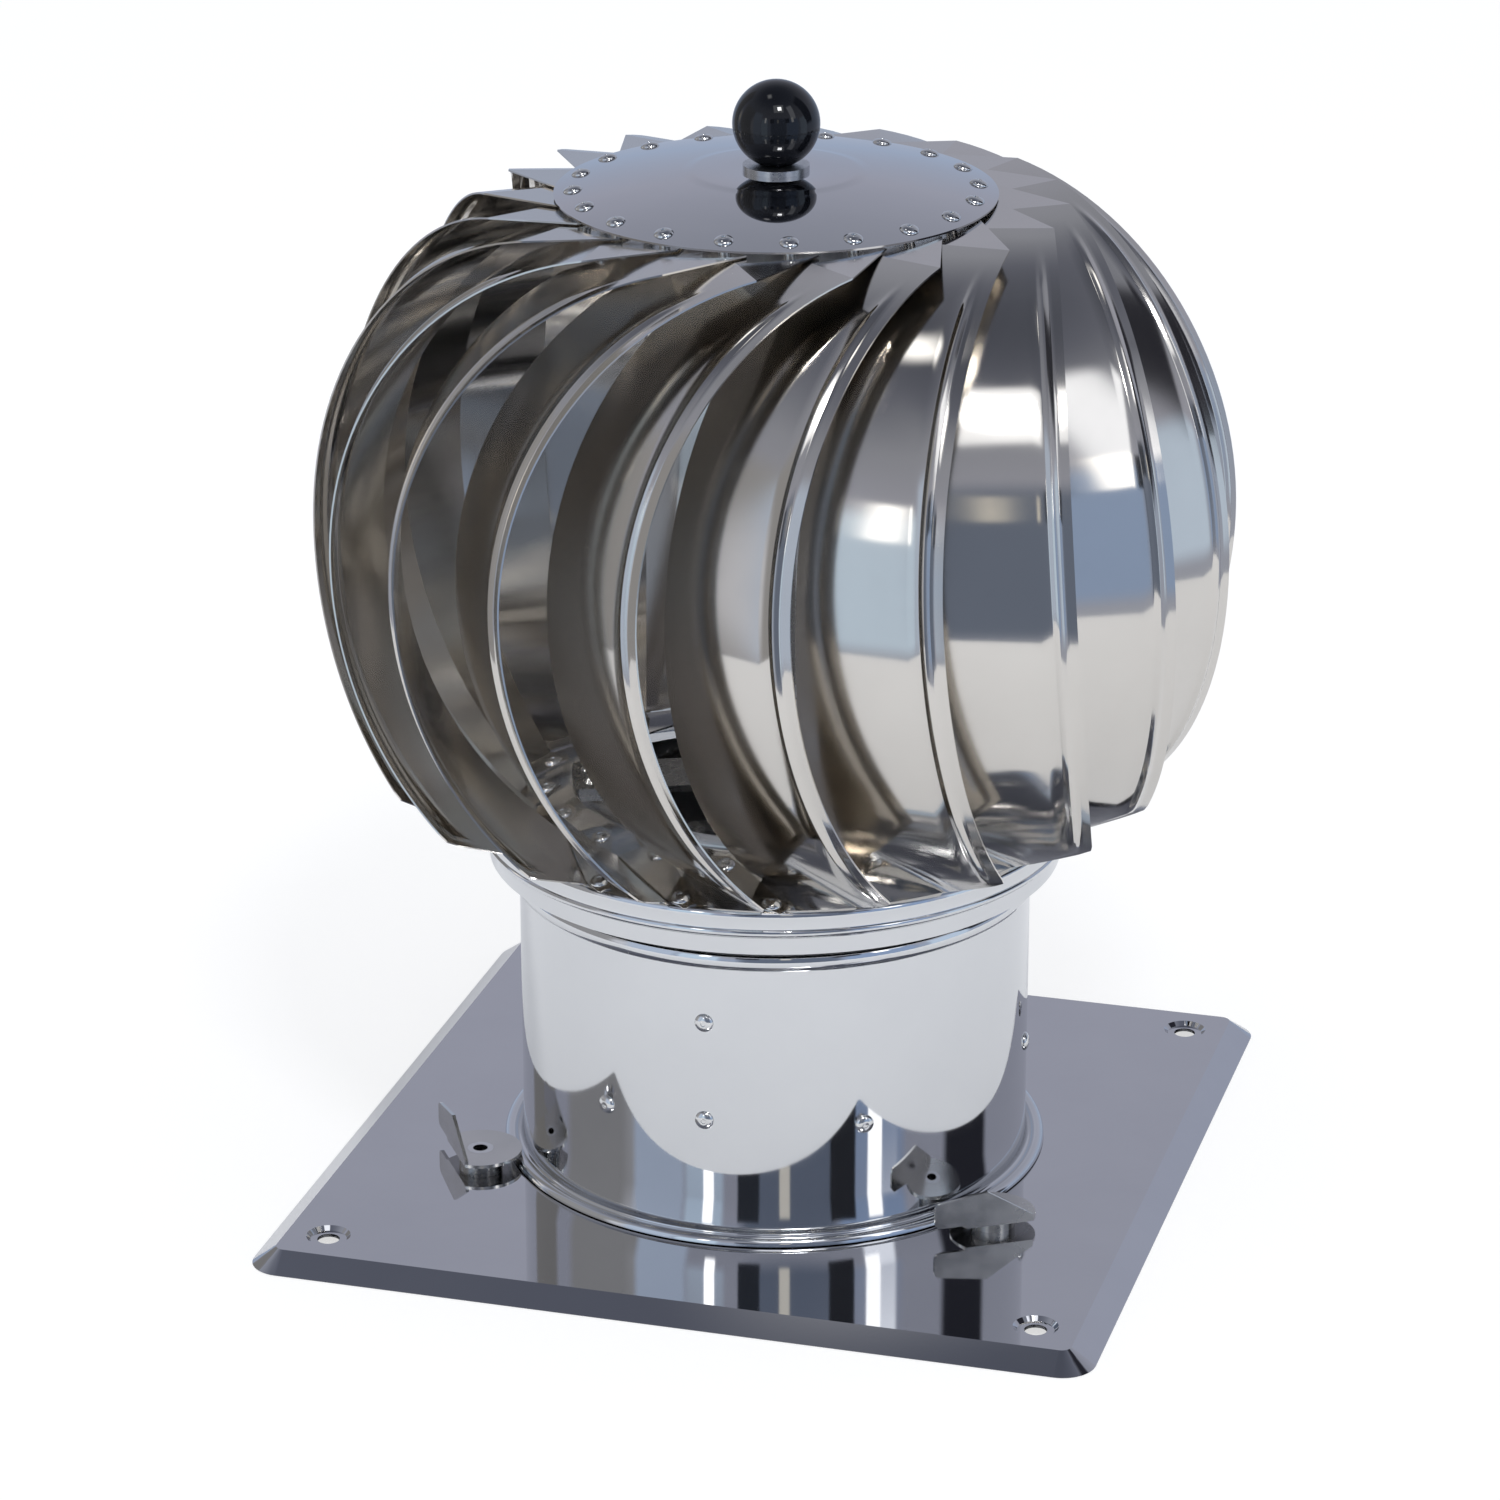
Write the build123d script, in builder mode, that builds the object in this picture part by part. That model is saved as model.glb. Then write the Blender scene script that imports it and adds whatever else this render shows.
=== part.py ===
from build123d import *

# Roof turbine ventilator: a ball of curved vanes that spins on a short duct collar and draws air out.
# Millimetres, +Z up. The origin is the centre of the base plate's underside, which lies on the roof.

import os
from math import acos, asin, atan, cos, degrees, radians, sin, sqrt, tan

# Base plate: one sheet with bevelled sides, a drawn neck for the collar and four dimpled screw holes
plate_side = 250.0
plate_corner = 10.0
plate_rise = 5.0
plate_bevel = 7.0
plate_sheet = 1.0
neck_height = 12.0
neck_sheet = 0.8
screw_pitch = 211.0
screw_hole_radius = 3.25
dimple_radius = 6.5
dimple_depth = 1.2
dimple_slope = 45.0

# Duct collar: a seamed pipe with a foot flange, a bead round the foot and a drip bead under the rotor
pipe_radius = 76.0
pipe_sheet = 0.6
pipe_length = 100.0
foot_bead_radius = 1.9
foot_bead_offset = 3.5
quarter_turn = 90.0
drip_bead_radius = 3.2
drip_bead_below_top = 11.5
neck_clearance = 0.3

# Blind rivets, all of one pattern: a low domed head, a shank and a formed tail
rivet_shank_radius = 1.6
rivet_head_radius = 2.4
rivet_head_height = 1.3
rivet_head_taper = 0.6
rivet_tail_radius = 2.2
rivet_tail_height = 0.8
rivet_slack = 0.15
seam_angle = -90.0
seam_rivet_heights = (42.0, 72.7)

# Bracket that carries the fixed axle: a band inside the collar and a star of three arms welded to it
bracket_rivet_height = 40.0
bracket_rivet_angle = -54.5
bracket_rivet_count = 6
bracket_arm_count = 3
band_width = 16.0
band_sheet = 1.2
arm_width = 18.0
arm_sheet = 2.0
bracket_boss_radius = 16.0

# Fixed axle with its nut and washer below the bracket, and a circlip on its top end
axle_radius = 6.0
axle_end_radius = 5.0
axle_end_above_bearing = 3.0
nut_across_flats = 17.0
nut_height = 8.0
washer_radius = 10.0
washer_sheet = 1.5
axle_washer_clearance = 0.2
thread_past_nut = 1.5
circlip_radius = 7.5
circlip_sheet = 1.2
circlip_groove_depth = 0.4
circlip_opening = 4.0

# Bearings: 30 x 10 x 9 at the top and 28 x 12 x 8 at the bottom, both shielded
upper_bearing_radius = 15.0
upper_bearing_width = 9.0
lower_bearing_radius = 14.0
lower_bearing_width = 8.0
inner_ring_wall = 3.0
bearing_gap = 0.3

# Rotor bottom ring: a cone that carries the vanes, with a skirt that hangs over the drip bead
ring_over_pipe = 7.6
ring_overhang = 11.4
ring_cone_slope = 16.0
ring_sheet = 0.6
ring_lip_outer = 60.0
ring_lip_inner = 51.0
skirt_drop = 13.5
skirt_inset = 3.4
skirt_ridge_drop = 6.5
skirt_ridge_bulge = 1.0
rim_roll = 1.5

# Rotor vanes: strips rolled to two radii, folded into a tab at the top and a foot at the bottom
vane_count = 20
vane_first_angle = -19.6
vane_sheet = 0.5
vane_equator_above_rim = 93.4
vane_crease_above_equator = 90.1
rotor_radius = 134.0
vane_edge_equator = 80.3
vane_edge_crease = 77.0
vane_edge_tip = 88.9
vane_tip_above_rim = 11.8
vane_tip_round = 5.0
vane_inner = 38.5
vane_inner_crease = 53.5
vane_taper_drop = 10.0
vane_crease_distance = 32.0
vane_foot_distance = 54.7
tab_slope = 0.05
tab_edge_distance = 9.1
tab_inner_radius = 50.0
tab_side_gap_angle = 0.8
foot_depth = 13.0
foot_margin = 4.5
foot_corner = 3.5
tab_rivet_share = 0.41
foot_search_rounds = 10

# Rotor top disc, its hub, the knob and the stud that holds it
disc_radius = 63.2
disc_sheet = 0.6
disc_gap = 0.3
disc_dome_rise = 7.2
disc_boss_rise = 0.5
disc_boss_radius = 26.0
disc_boss_step = 3.0
disc_rivet_inset = 5.5
hub_flange_radius = 22.0
hub_flange_height = 3.0
hub_wall = 2.5
hub_cap = 5.2
hub_relief_radius = 9.0
hub_relief_depth = 5.0
stud_radius = 3.0
stud_depth = 4.6
stud_hole_clearance = 0.2
knob_radius = 12.5
knob_flat_radius = 4.2
knob_hole_depth = 12.0
knob_washer_radius = 9.5
knob_washer_sheet = 1.5

# Lower spider: a bar across the bottom ring with the lower bearing's hub in its middle
bar_width = 22.0
bar_sheet = 2.0
bar_angle = 21.7
bar_boss_radius = 26.0
bar_rivet_inset = 5.0
bar_rivet_spacing = 10.0
lower_hub_wall = 3.5
lower_hub_clearance = 0.1
lower_flange_radius = 24.0
lower_flange_sheet = 2.0
lower_hub_lip = 2.0
lower_lip_radius = 12.0
hub_rivet_count = 4

# Embossed rib that stiffens the free edge of each vane
rib_width = 3.4
rib_height = 0.9
rib_inset = 5.0
rib_end_share = 0.07

# Foot rivets of the vanes, one near each end of the foot
foot_rivet_edge = 3.2
foot_rivet_side = 5.9
foot_rivet_rim = 2.2

# Swivel clips that hold the collar's foot flange down on the plate
clip_pivot_clearance = 9.3
clip_angles = {"clip_left": -150.0, "clip_right": -30.0, "clip_back": 90.0}
clip_turns = {"clip_left": 4.0, "clip_right": -29.0, "clip_back": 0.0}
clip_radius = 12.5
clip_sheet = 1.0
clip_bend_distance = 7.5
clip_lug_height = 11.0
clip_lug_peak = 6.0
clip_lug_overhang = 10.0
clip_lug_end_height = 8.5
clip_lug_notch = 1.0
clip_lug_round = 2.0
clip_play = 0.05
eyelet_radius = 3.0
eyelet_bore_radius = 2.2
eyelet_head_radius = 4.0
eyelet_tail_radius = 4.5
eyelet_sheet = 0.8
spacer_radius = 6.5
spacer_height = 3.0

# How far a cutting shape runs past the face that it cuts
trim_margin = 2.0

os.makedirs("parts", exist_ok=True)

# Heights and radii that follow from the driving sizes
pipe_bore = pipe_radius - pipe_sheet
pipe_top = plate_rise + pipe_length
neck_radius = pipe_bore - neck_clearance
rim_height = pipe_top + ring_over_pipe
ring_rim_radius = pipe_radius + ring_overhang
skirt_radius = ring_rim_radius - skirt_inset
clip_pivot_radius = pipe_radius + foot_bead_offset + foot_bead_radius + pipe_sheet / 2 + clip_pivot_clearance
equator_height = rim_height + vane_equator_above_rim
crease_height = equator_height + vane_crease_above_equator
cone_rise = tan(radians(ring_cone_slope))


def cone_height(radius):
    """Height of the bottom ring's upper face at a radius."""
    return rim_height + (ring_rim_radius - radius) * cone_rise


def save(builder, name):
    """Label a finished piece and write its file."""
    builder.part.label = name
    export_step(builder.part, f"parts/{name}.step")


def rivet(grip):
    """One rivet standing on the origin, its head above and its grip below."""
    with BuildPart() as one:
        with BuildSketch(Plane.XZ):
            with BuildLine():
                Polyline(
                    (0, -grip - rivet_tail_height),
                    (rivet_tail_radius, -grip - rivet_tail_height),
                    (rivet_tail_radius, -grip),
                    (rivet_shank_radius, -grip),
                    (rivet_shank_radius, 0),
                    (rivet_head_radius, 0),
                    (rivet_head_radius * rivet_head_taper, rivet_head_height),
                    (0, rivet_head_height),
                    close=True,
                )
            make_face()
        revolve(axis=Axis.Z)
    return one.part


def radial_plane(radius, angle, height):
    """Plane on a vertical wall, its normal pointing away from the axis."""
    across = radians(angle)
    origin = (radius * cos(across), radius * sin(across), height)
    return Plane(origin=origin, x_dir=(-sin(across), cos(across), 0), z_dir=(cos(across), sin(across), 0))


def level_plane(radius, angle, height):
    """Horizontal plane at a radius and an angle, its x axis pointing away from the axis."""
    across = radians(angle)
    origin = (radius * cos(across), radius * sin(across), height)
    return Plane(origin=origin, x_dir=(cos(across), sin(across), 0), z_dir=(0, 0, 1))


# Base plate: a tapered tray of one sheet, with a drawn neck and dimples round the screw holes
bevel_angle = degrees(acos(plate_rise / sqrt(plate_rise**2 + plate_bevel**2)))
tray_depth = plate_rise - plate_sheet
tray_side = plate_side - 2 * plate_sheet
screw_places = GridLocations(screw_pitch, screw_pitch, 2, 2)
dimple_floor = tray_depth - dimple_depth

with BuildPart() as base_plate:
    with BuildSketch():
        RectangleRounded(plate_side, plate_side, plate_corner)
    extrude(amount=plate_rise, taper=bevel_angle)
    with BuildSketch():
        RectangleRounded(tray_side, tray_side, plate_corner - plate_sheet)
    extrude(amount=tray_depth, taper=bevel_angle, mode=Mode.SUBTRACT)
    with BuildSketch(Plane.XY.offset(dimple_floor)):
        with screw_places:
            Circle(dimple_radius - dimple_depth + plate_sheet)
    extrude(amount=dimple_depth, taper=-dimple_slope)
    with BuildSketch(Plane.XY.offset(plate_rise)):
        with screw_places:
            Circle(dimple_radius)
    extrude(amount=-dimple_depth, taper=dimple_slope, mode=Mode.SUBTRACT)
    with BuildSketch():
        with screw_places:
            Circle(screw_hole_radius)
        for angle in clip_angles.values():
            with Locations(level_plane(clip_pivot_radius, angle, 0)):
                Circle(eyelet_radius)
        Circle(neck_radius - neck_sheet)
    extrude(amount=plate_rise, mode=Mode.SUBTRACT)
    with BuildSketch(Plane.XY.offset(tray_depth)):
        Circle(neck_radius)
        Circle(neck_radius - neck_sheet, mode=Mode.SUBTRACT)
    extrude(amount=plate_sheet + neck_height)
save(base_plate, "base_plate")


# Duct collar: the centre line of its sheet, from the foot bead up the wall and round the drip bead
wall_radius = pipe_radius - pipe_sheet / 2
foot_floor = plate_rise + pipe_sheet / 2
foot_bead_centre = pipe_radius + foot_bead_offset
drip_height = pipe_top - drip_bead_below_top
drip_reach = wall_radius + drip_bead_radius
bracket_rivet_spots = [
    (bracket_rivet_angle + 360 / bracket_rivet_count * n, bracket_rivet_height)
    for n in range(bracket_rivet_count)
]
seam_rivet_spots = [(seam_angle, height) for height in seam_rivet_heights]

with BuildPart() as duct_collar:
    with BuildSketch(Plane.XZ):
        with BuildLine():
            ThreePointArc(
                (foot_bead_centre + foot_bead_radius, foot_floor),
                (foot_bead_centre, foot_floor + foot_bead_radius),
                (foot_bead_centre - foot_bead_radius, foot_floor),
            )
            JernArc(
                start=(foot_bead_centre - foot_bead_radius, foot_floor),
                tangent=(-1, 0),
                radius=foot_bead_centre - foot_bead_radius - wall_radius,
                arc_size=-quarter_turn,
            )
            Line(
                (wall_radius, foot_floor + foot_bead_centre - foot_bead_radius - wall_radius),
                (wall_radius, drip_height - drip_bead_radius),
            )
            ThreePointArc(
                (wall_radius, drip_height - drip_bead_radius),
                (drip_reach, drip_height),
                (wall_radius, drip_height + drip_bead_radius),
            )
            Line((wall_radius, drip_height + drip_bead_radius), (wall_radius, pipe_top))
        trace(line_width=pipe_sheet)
    revolve(axis=Axis.Z)
    for angle, height in bracket_rivet_spots + seam_rivet_spots:
        with BuildSketch(radial_plane(wall_radius, angle, height)):
            Circle(rivet_shank_radius)
        extrude(amount=trim_margin, both=True, mode=Mode.SUBTRACT)
save(duct_collar, "duct_collar")


# Bracket: a band inside the collar, and a star of arms with the axle's boss that is welded to the band
bracket_floor = bracket_rivet_height - band_width / 2
arm_floor = bracket_rivet_height + band_width / 4
axle_seat = arm_floor + arm_sheet
band_bore = pipe_bore - band_sheet
band_middle = pipe_bore - band_sheet / 2

with BuildPart() as bracket_band:
    with BuildSketch(Plane.XY.offset(bracket_floor)):
        Circle(pipe_bore)
        Circle(band_bore, mode=Mode.SUBTRACT)
    extrude(amount=band_width)
    for angle, height in bracket_rivet_spots + seam_rivet_spots:
        with BuildSketch(radial_plane(band_middle, angle, height)):
            Circle(rivet_shank_radius)
        extrude(amount=trim_margin, both=True, mode=Mode.SUBTRACT)
save(bracket_band, "bracket_band")

with BuildPart() as bracket_star:
    with BuildSketch(Plane.XY.offset(arm_floor)):
        Circle(bracket_boss_radius)
        with PolarLocations(0, bracket_arm_count, start_angle=bracket_rivet_angle):
            Rectangle(pipe_radius, arm_width, align=(Align.MIN, Align.CENTER))
        Circle(band_bore, mode=Mode.INTERSECT)
        Circle(axle_end_radius, mode=Mode.SUBTRACT)
    extrude(amount=arm_sheet)
save(bracket_star, "bracket_star")

with BuildPart() as bracket_rivets:
    with Locations(*[radial_plane(pipe_radius, angle, height) for angle, height in bracket_rivet_spots]):
        add(rivet(pipe_sheet + band_sheet + rivet_slack))
save(bracket_rivets, "bracket_rivets")

with BuildPart() as seam_rivets:
    for angle, height in seam_rivet_spots:
        through_band = abs(height - bracket_rivet_height) < band_width / 2 + rivet_tail_radius
        with Locations(radial_plane(pipe_radius, angle, height)):
            add(rivet(pipe_sheet + rivet_slack + (band_sheet if through_band else 0)))
save(seam_rivets, "seam_rivets")


# Vane: a strip rolled to two radii, in a frame that turns with it about the rotor's axis. X runs along
# the strip's generators towards its free edge, and distances from the axis are measured along minus Y.
vane_turn = 360 / vane_count
vane_angles = [vane_first_angle + vane_turn * index for index in range(vane_count)]
vane_equator_distance = sqrt(rotor_radius**2 - vane_edge_equator**2)
strip_floor = rim_height - trim_margin / 2
foot_outer_radius = ring_rim_radius - rim_roll
foot_layer = vane_sheet / cos(radians(ring_cone_slope))


def roll_radius(rise, end_distance):
    """Radius of the roll that is upright at the equator and reaches a distance from the axis after a rise."""
    reach = vane_equator_distance - end_distance
    return (reach**2 + rise**2) / (2 * reach)


vane_upper_roll = roll_radius(vane_crease_above_equator, vane_crease_distance)
vane_lower_roll = roll_radius(equator_height - cone_height(foot_outer_radius), vane_foot_distance)


def strip_point(roll, height, proud=0):
    """Point of the strip at a height, in the section's plane, standing proud of the sheet's middle."""
    run = sqrt((roll + proud) ** 2 - (height - equator_height) ** 2)
    return (roll - vane_equator_distance - run, height)


def foot_distance(radius):
    """Distance from the axis at which the strip meets the ring's cone at a radius."""
    return -strip_point(vane_lower_roll, cone_height(radius))[0]


def tab_height(distance):
    """Height of the middle of the tab's sheet at a distance from the axis."""
    return crease_height + (vane_crease_distance - distance) * tab_slope


foot_inner_y = vane_foot_distance
for _ in range(foot_search_rounds):
    foot_inner_y = foot_distance(sqrt(vane_inner**2 + foot_inner_y**2))
foot_end = sqrt(foot_outer_radius**2 - vane_foot_distance**2)
foot_inner_distance = foot_inner_y - foot_depth
foot_rivet_distance = foot_inner_distance + foot_rivet_edge
foot_rivet_inner = sqrt((vane_inner + foot_rivet_side) ** 2 + foot_rivet_distance**2)
foot_rivet_outer = foot_outer_radius - foot_rivet_rim
foot_rivet_radii = (foot_rivet_inner, foot_rivet_outer)
foot_rivet_turns = [-degrees(asin(foot_rivet_distance / radius)) for radius in foot_rivet_radii]
foot_side = sqrt(foot_rivet_outer**2 - foot_rivet_distance**2) + foot_margin
tab_corner_angle = asin(tab_edge_distance / disc_radius)
tab_end_y = tab_inner_radius * sin(tab_corner_angle)
disc_rivet_turn = -degrees(tab_corner_angle) - (vane_turn - tab_side_gap_angle) * tab_rivet_share
disc_rivet_radius = disc_radius - disc_rivet_inset
disc_rivet_y = disc_rivet_radius * sin(radians(-disc_rivet_turn))
disc_floor = tab_height(tab_end_y) + vane_sheet / 2 + disc_gap
dome_radius = (disc_radius**2 + disc_dome_rise**2) / (2 * disc_dome_rise)
dome_centre = disc_floor + disc_sheet / 2 + disc_dome_rise - dome_radius
disc_rivet_slope = asin(disc_rivet_radius / dome_radius)


def dome_height(radius):
    """Height of the middle of the top disc's sheet on its dome, at a radius."""
    return dome_centre + sqrt(dome_radius**2 - radius**2)


def dome_plane(angle):
    """Plane square to the top disc's dome, its origin on the upper face where a rivet stands."""
    across = radians(angle)
    normal = Vector(
        sin(disc_rivet_slope) * cos(across), sin(disc_rivet_slope) * sin(across), cos(disc_rivet_slope)
    )
    origin = Vector(0, 0, dome_centre) + normal * (dome_radius + disc_sheet / 2)
    return Plane(origin=origin, x_dir=(-sin(across), cos(across), 0), z_dir=normal)


disc_tab_drop = dome_plane(disc_rivet_turn).origin.Z - tab_height(disc_rivet_y) + vane_sheet / 2
disc_grip = (disc_tab_drop + rivet_tail_radius * sin(disc_rivet_slope)) / cos(disc_rivet_slope) + rivet_slack

# Blank of the vane: its outline seen from the front for the strip, and seen from above for the tab
with BuildPart() as vane_blank:
    with BuildSketch(Plane.XZ.offset(vane_crease_distance)):
        with BuildLine():
            Polyline(
                (vane_edge_tip, rim_height + vane_tip_above_rim),
                (foot_end, rim_height),
                (foot_end - trim_margin, strip_floor - trim_margin),
                (vane_inner, strip_floor - trim_margin),
                (vane_inner, crease_height - vane_taper_drop),
                (vane_inner_crease, crease_height),
                (vane_inner_crease, crease_height + trim_margin),
                (vane_edge_crease, crease_height + trim_margin),
            )
            free_edge = ThreePointArc(
                (vane_edge_crease, crease_height + trim_margin),
                (vane_edge_equator, equator_height),
                (vane_edge_tip, rim_height + vane_tip_above_rim),
            )
        make_face()
        fillet(vertices().sort_by(Axis.X)[-1], radius=vane_tip_round)
    extrude(amount=rotor_radius)
    with BuildSketch(Plane.XY.offset(crease_height - trim_margin)):
        with BuildLine():
            Polyline(
                (vane_inner_crease, -vane_crease_distance),
                (vane_edge_crease, -vane_crease_distance),
                (disc_radius * cos(tab_corner_angle), -tab_edge_distance),
                (tab_inner_radius * cos(tab_corner_angle), -tab_end_y),
            )
            tab_end = CenterArc(
                (0, 0), tab_inner_radius, -degrees(tab_corner_angle), tab_side_gap_angle - vane_turn
            )
            Line(tab_end @ 1, (vane_inner_crease, -vane_crease_distance))
        make_face()
    extrude(amount=2 * trim_margin + vane_crease_distance * tab_slope)

# Foot of the vane: a layer of the same sheet pressed onto the ring's cone
with BuildPart() as vane_foot:
    with BuildSketch(Plane.XZ):
        with BuildLine():
            Polyline(
                (ring_lip_outer, cone_height(ring_lip_outer)),
                (foot_outer_radius, cone_height(foot_outer_radius)),
                (foot_outer_radius, cone_height(foot_outer_radius) + foot_layer),
                (ring_lip_outer, cone_height(ring_lip_outer) + foot_layer),
                close=True,
            )
        make_face()
    revolve(axis=Axis.Z)
    with BuildSketch():
        with BuildLine():
            Polyline(
                (vane_inner, -foot_inner_y),
                (foot_end, -vane_foot_distance),
                (foot_side, -foot_rivet_distance),
                (foot_side, -foot_inner_distance),
                (vane_inner + foot_corner, -foot_inner_distance),
                (vane_inner, -foot_inner_distance - foot_corner),
                close=True,
            )
        make_face()
    extrude(amount=equator_height, mode=Mode.INTERSECT)


def cone_plane(radius, angle):
    """Plane square to the ring's cone, its origin on the upper face of a vane's foot."""
    across, slope = radians(angle), radians(ring_cone_slope)
    origin = (radius * cos(across), radius * sin(across), cone_height(radius) + foot_layer)
    normal = (sin(slope) * cos(across), sin(slope) * sin(across), cos(slope))
    return Plane(origin=origin, x_dir=(-sin(across), cos(across), 0), z_dir=normal)


foot_planes = [
    cone_plane(radius, turn) for radius, turn in zip((foot_rivet_inner, foot_rivet_outer), foot_rivet_turns)
]


def rolled_arcs(proud=0):
    """The strip's two rolls, from the crease to its floor, drawn in the section's plane."""
    for roll, start, end in (
        (vane_upper_roll, crease_height, equator_height),
        (vane_lower_roll, equator_height, strip_floor),
    ):
        ThreePointArc(*[strip_point(roll, height, proud) for height in (start, (start + end) / 2, end)])


def rib_layer(inner, outer, width):
    """A layer of the rolled strip, as wide as the rib or its groove, in a slot along the free edge."""
    with BuildPart(mode=Mode.PRIVATE) as layer:
        with BuildSketch(Plane.YZ):
            with BuildLine():
                rolled_arcs(proud=(inner + outer) / 2)
            trace(line_width=outer - inner)
        extrude(amount=rotor_radius)
        with BuildSketch(Plane.XZ.offset(vane_crease_distance)):
            places = [free_edge @ share - Vector(rib_inset, 0) for share in (rib_end_share, 0.5, 1 - rib_end_share)]
            SlotArc(ThreePointArc(*places, mode=Mode.PRIVATE), width)
        extrude(amount=rotor_radius, mode=Mode.INTERSECT)
    return layer.part


with BuildPart() as vane:
    with BuildSketch(Plane.YZ.offset(vane_inner - trim_margin)):
        with BuildLine():
            Line((0, tab_height(0)), strip_point(vane_upper_roll, crease_height))
            rolled_arcs()
        trace(line_width=vane_sheet)
    extrude(amount=rotor_radius)
    add(vane_blank.part, mode=Mode.INTERSECT)
    add(rib_layer(0, vane_sheet / 2 + rib_height, rib_width))
    add(rib_layer(-vane_sheet, rib_height - vane_sheet / 2, rib_width - 2 * vane_sheet), mode=Mode.SUBTRACT)
    with BuildSketch(Plane.XZ):
        with BuildLine():
            Polyline(
                (0, strip_floor - trim_margin),
                (ring_rim_radius, strip_floor - trim_margin),
                (ring_rim_radius, rim_height),
                (0, cone_height(0)),
                close=True,
            )
        make_face()
    revolve(axis=Axis.Z, mode=Mode.SUBTRACT)
    add(vane_foot.part)
    with BuildSketch(*foot_planes):
        Circle(rivet_shank_radius)
    extrude(amount=trim_margin, both=True, mode=Mode.SUBTRACT)
    with BuildSketch(dome_plane(disc_rivet_turn)):
        Circle(rivet_shank_radius)
    extrude(amount=-disc_grip - trim_margin, mode=Mode.SUBTRACT)

for index, angle in enumerate(vane_angles):
    with BuildPart() as turned_vane:
        add(vane.part, rotation=(0, 0, angle))
    save(turned_vane, f"vane_{index + 1:02d}")


# Bottom ring: the inner lip, the cone and the skirt are one pressed sheet
ring_drop = ring_sheet / 2 / cos(radians(ring_cone_slope))
lip_middle = cone_height(ring_lip_outer) - ring_drop
lip_top = lip_middle + ring_sheet / 2
rim_middle = ring_rim_radius - ring_sheet / 2
ridge_height = rim_height - skirt_ridge_drop
skirt_floor = rim_height - skirt_drop
ridge_radius = skirt_radius + (rim_middle - skirt_radius) * (1 - skirt_ridge_drop / skirt_drop)
bar_rivet_radius = ring_lip_outer - bar_rivet_inset

with BuildPart() as bottom_ring:
    with BuildSketch(Plane.XZ):
        with BuildLine():
            FilletPolyline(
                (ring_lip_inner, lip_middle),
                (ring_lip_outer, lip_middle),
                (rim_middle, cone_height(rim_middle) - ring_drop),
                (ridge_radius, ridge_height + skirt_ridge_bulge),
                radius=rim_roll,
            )
            ThreePointArc(
                (ridge_radius, ridge_height + skirt_ridge_bulge),
                (ridge_radius + skirt_ridge_bulge, ridge_height),
                (ridge_radius, ridge_height - skirt_ridge_bulge),
            )
            Line((ridge_radius, ridge_height - skirt_ridge_bulge), (skirt_radius, skirt_floor))
        trace(line_width=ring_sheet)
    revolve(axis=Axis.Z)
    for angle in vane_angles:
        with BuildSketch(
            *[
                cone_plane(radius, angle + turn)
                for radius, turn in zip((foot_rivet_inner, foot_rivet_outer), foot_rivet_turns)
            ]
        ):
            Circle(rivet_shank_radius)
        extrude(amount=-trim_margin, mode=Mode.SUBTRACT)
    with BuildSketch(Plane.XY.offset(lip_middle - ring_sheet).rotated((0, 0, bar_angle))):
        with GridLocations(2 * bar_rivet_radius, bar_rivet_spacing, 2, 2):
            Circle(rivet_shank_radius)
    extrude(amount=2 * ring_sheet, mode=Mode.SUBTRACT)
save(bottom_ring, "bottom_ring")

foot_grip = vane_sheet + ring_sheet + rivet_slack
for name, radius, turn in zip(
    ("inner_foot_rivets", "outer_foot_rivets"), (foot_rivet_inner, foot_rivet_outer), foot_rivet_turns
):
    with BuildPart() as foot_rivets:
        with Locations(*[cone_plane(radius, angle + turn) for angle in vane_angles]):
            add(rivet(foot_grip))
    save(foot_rivets, name)


# Lower spider: bar, hub and their rivets
bar_top = lip_top + bar_sheet
flange_top = bar_top + lower_flange_sheet
lower_hub_radius = lower_bearing_radius + lower_hub_wall
bar_hole_radius = lower_hub_radius + lower_hub_clearance
hub_rivet_radius = (lower_hub_radius + lower_flange_radius) / 2
lower_bearing_floor = flange_top - lower_bearing_width

with BuildPart() as spider_bar:
    with BuildSketch(Plane.XY.offset(lip_top).rotated((0, 0, bar_angle))):
        Rectangle(2 * ring_lip_outer, bar_width)
        Circle(bar_boss_radius)
        Circle(ring_lip_outer, mode=Mode.INTERSECT)
        Circle(bar_hole_radius, mode=Mode.SUBTRACT)
        with GridLocations(2 * bar_rivet_radius, bar_rivet_spacing, 2, 2):
            Circle(rivet_shank_radius, mode=Mode.SUBTRACT)
        with PolarLocations(hub_rivet_radius, hub_rivet_count):
            Circle(rivet_shank_radius, mode=Mode.SUBTRACT)
    extrude(amount=bar_sheet)
save(spider_bar, "spider_bar")

with BuildPart() as lower_hub:
    with BuildSketch(Plane.XZ):
        with BuildLine():
            Polyline(
                (lower_lip_radius, lower_bearing_floor - lower_hub_lip),
                (lower_hub_radius, lower_bearing_floor - lower_hub_lip),
                (lower_hub_radius, bar_top),
                (lower_flange_radius, bar_top),
                (lower_flange_radius, flange_top),
                (lower_bearing_radius, flange_top),
                (lower_bearing_radius, lower_bearing_floor),
                (lower_lip_radius, lower_bearing_floor),
                close=True,
            )
        make_face()
    revolve(axis=Axis.Z)
    with BuildSketch(Plane.XY.offset(bar_top).rotated((0, 0, bar_angle))):
        with PolarLocations(hub_rivet_radius, hub_rivet_count):
            Circle(rivet_shank_radius)
    extrude(amount=lower_flange_sheet, mode=Mode.SUBTRACT)
save(lower_hub, "lower_hub")

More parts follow.
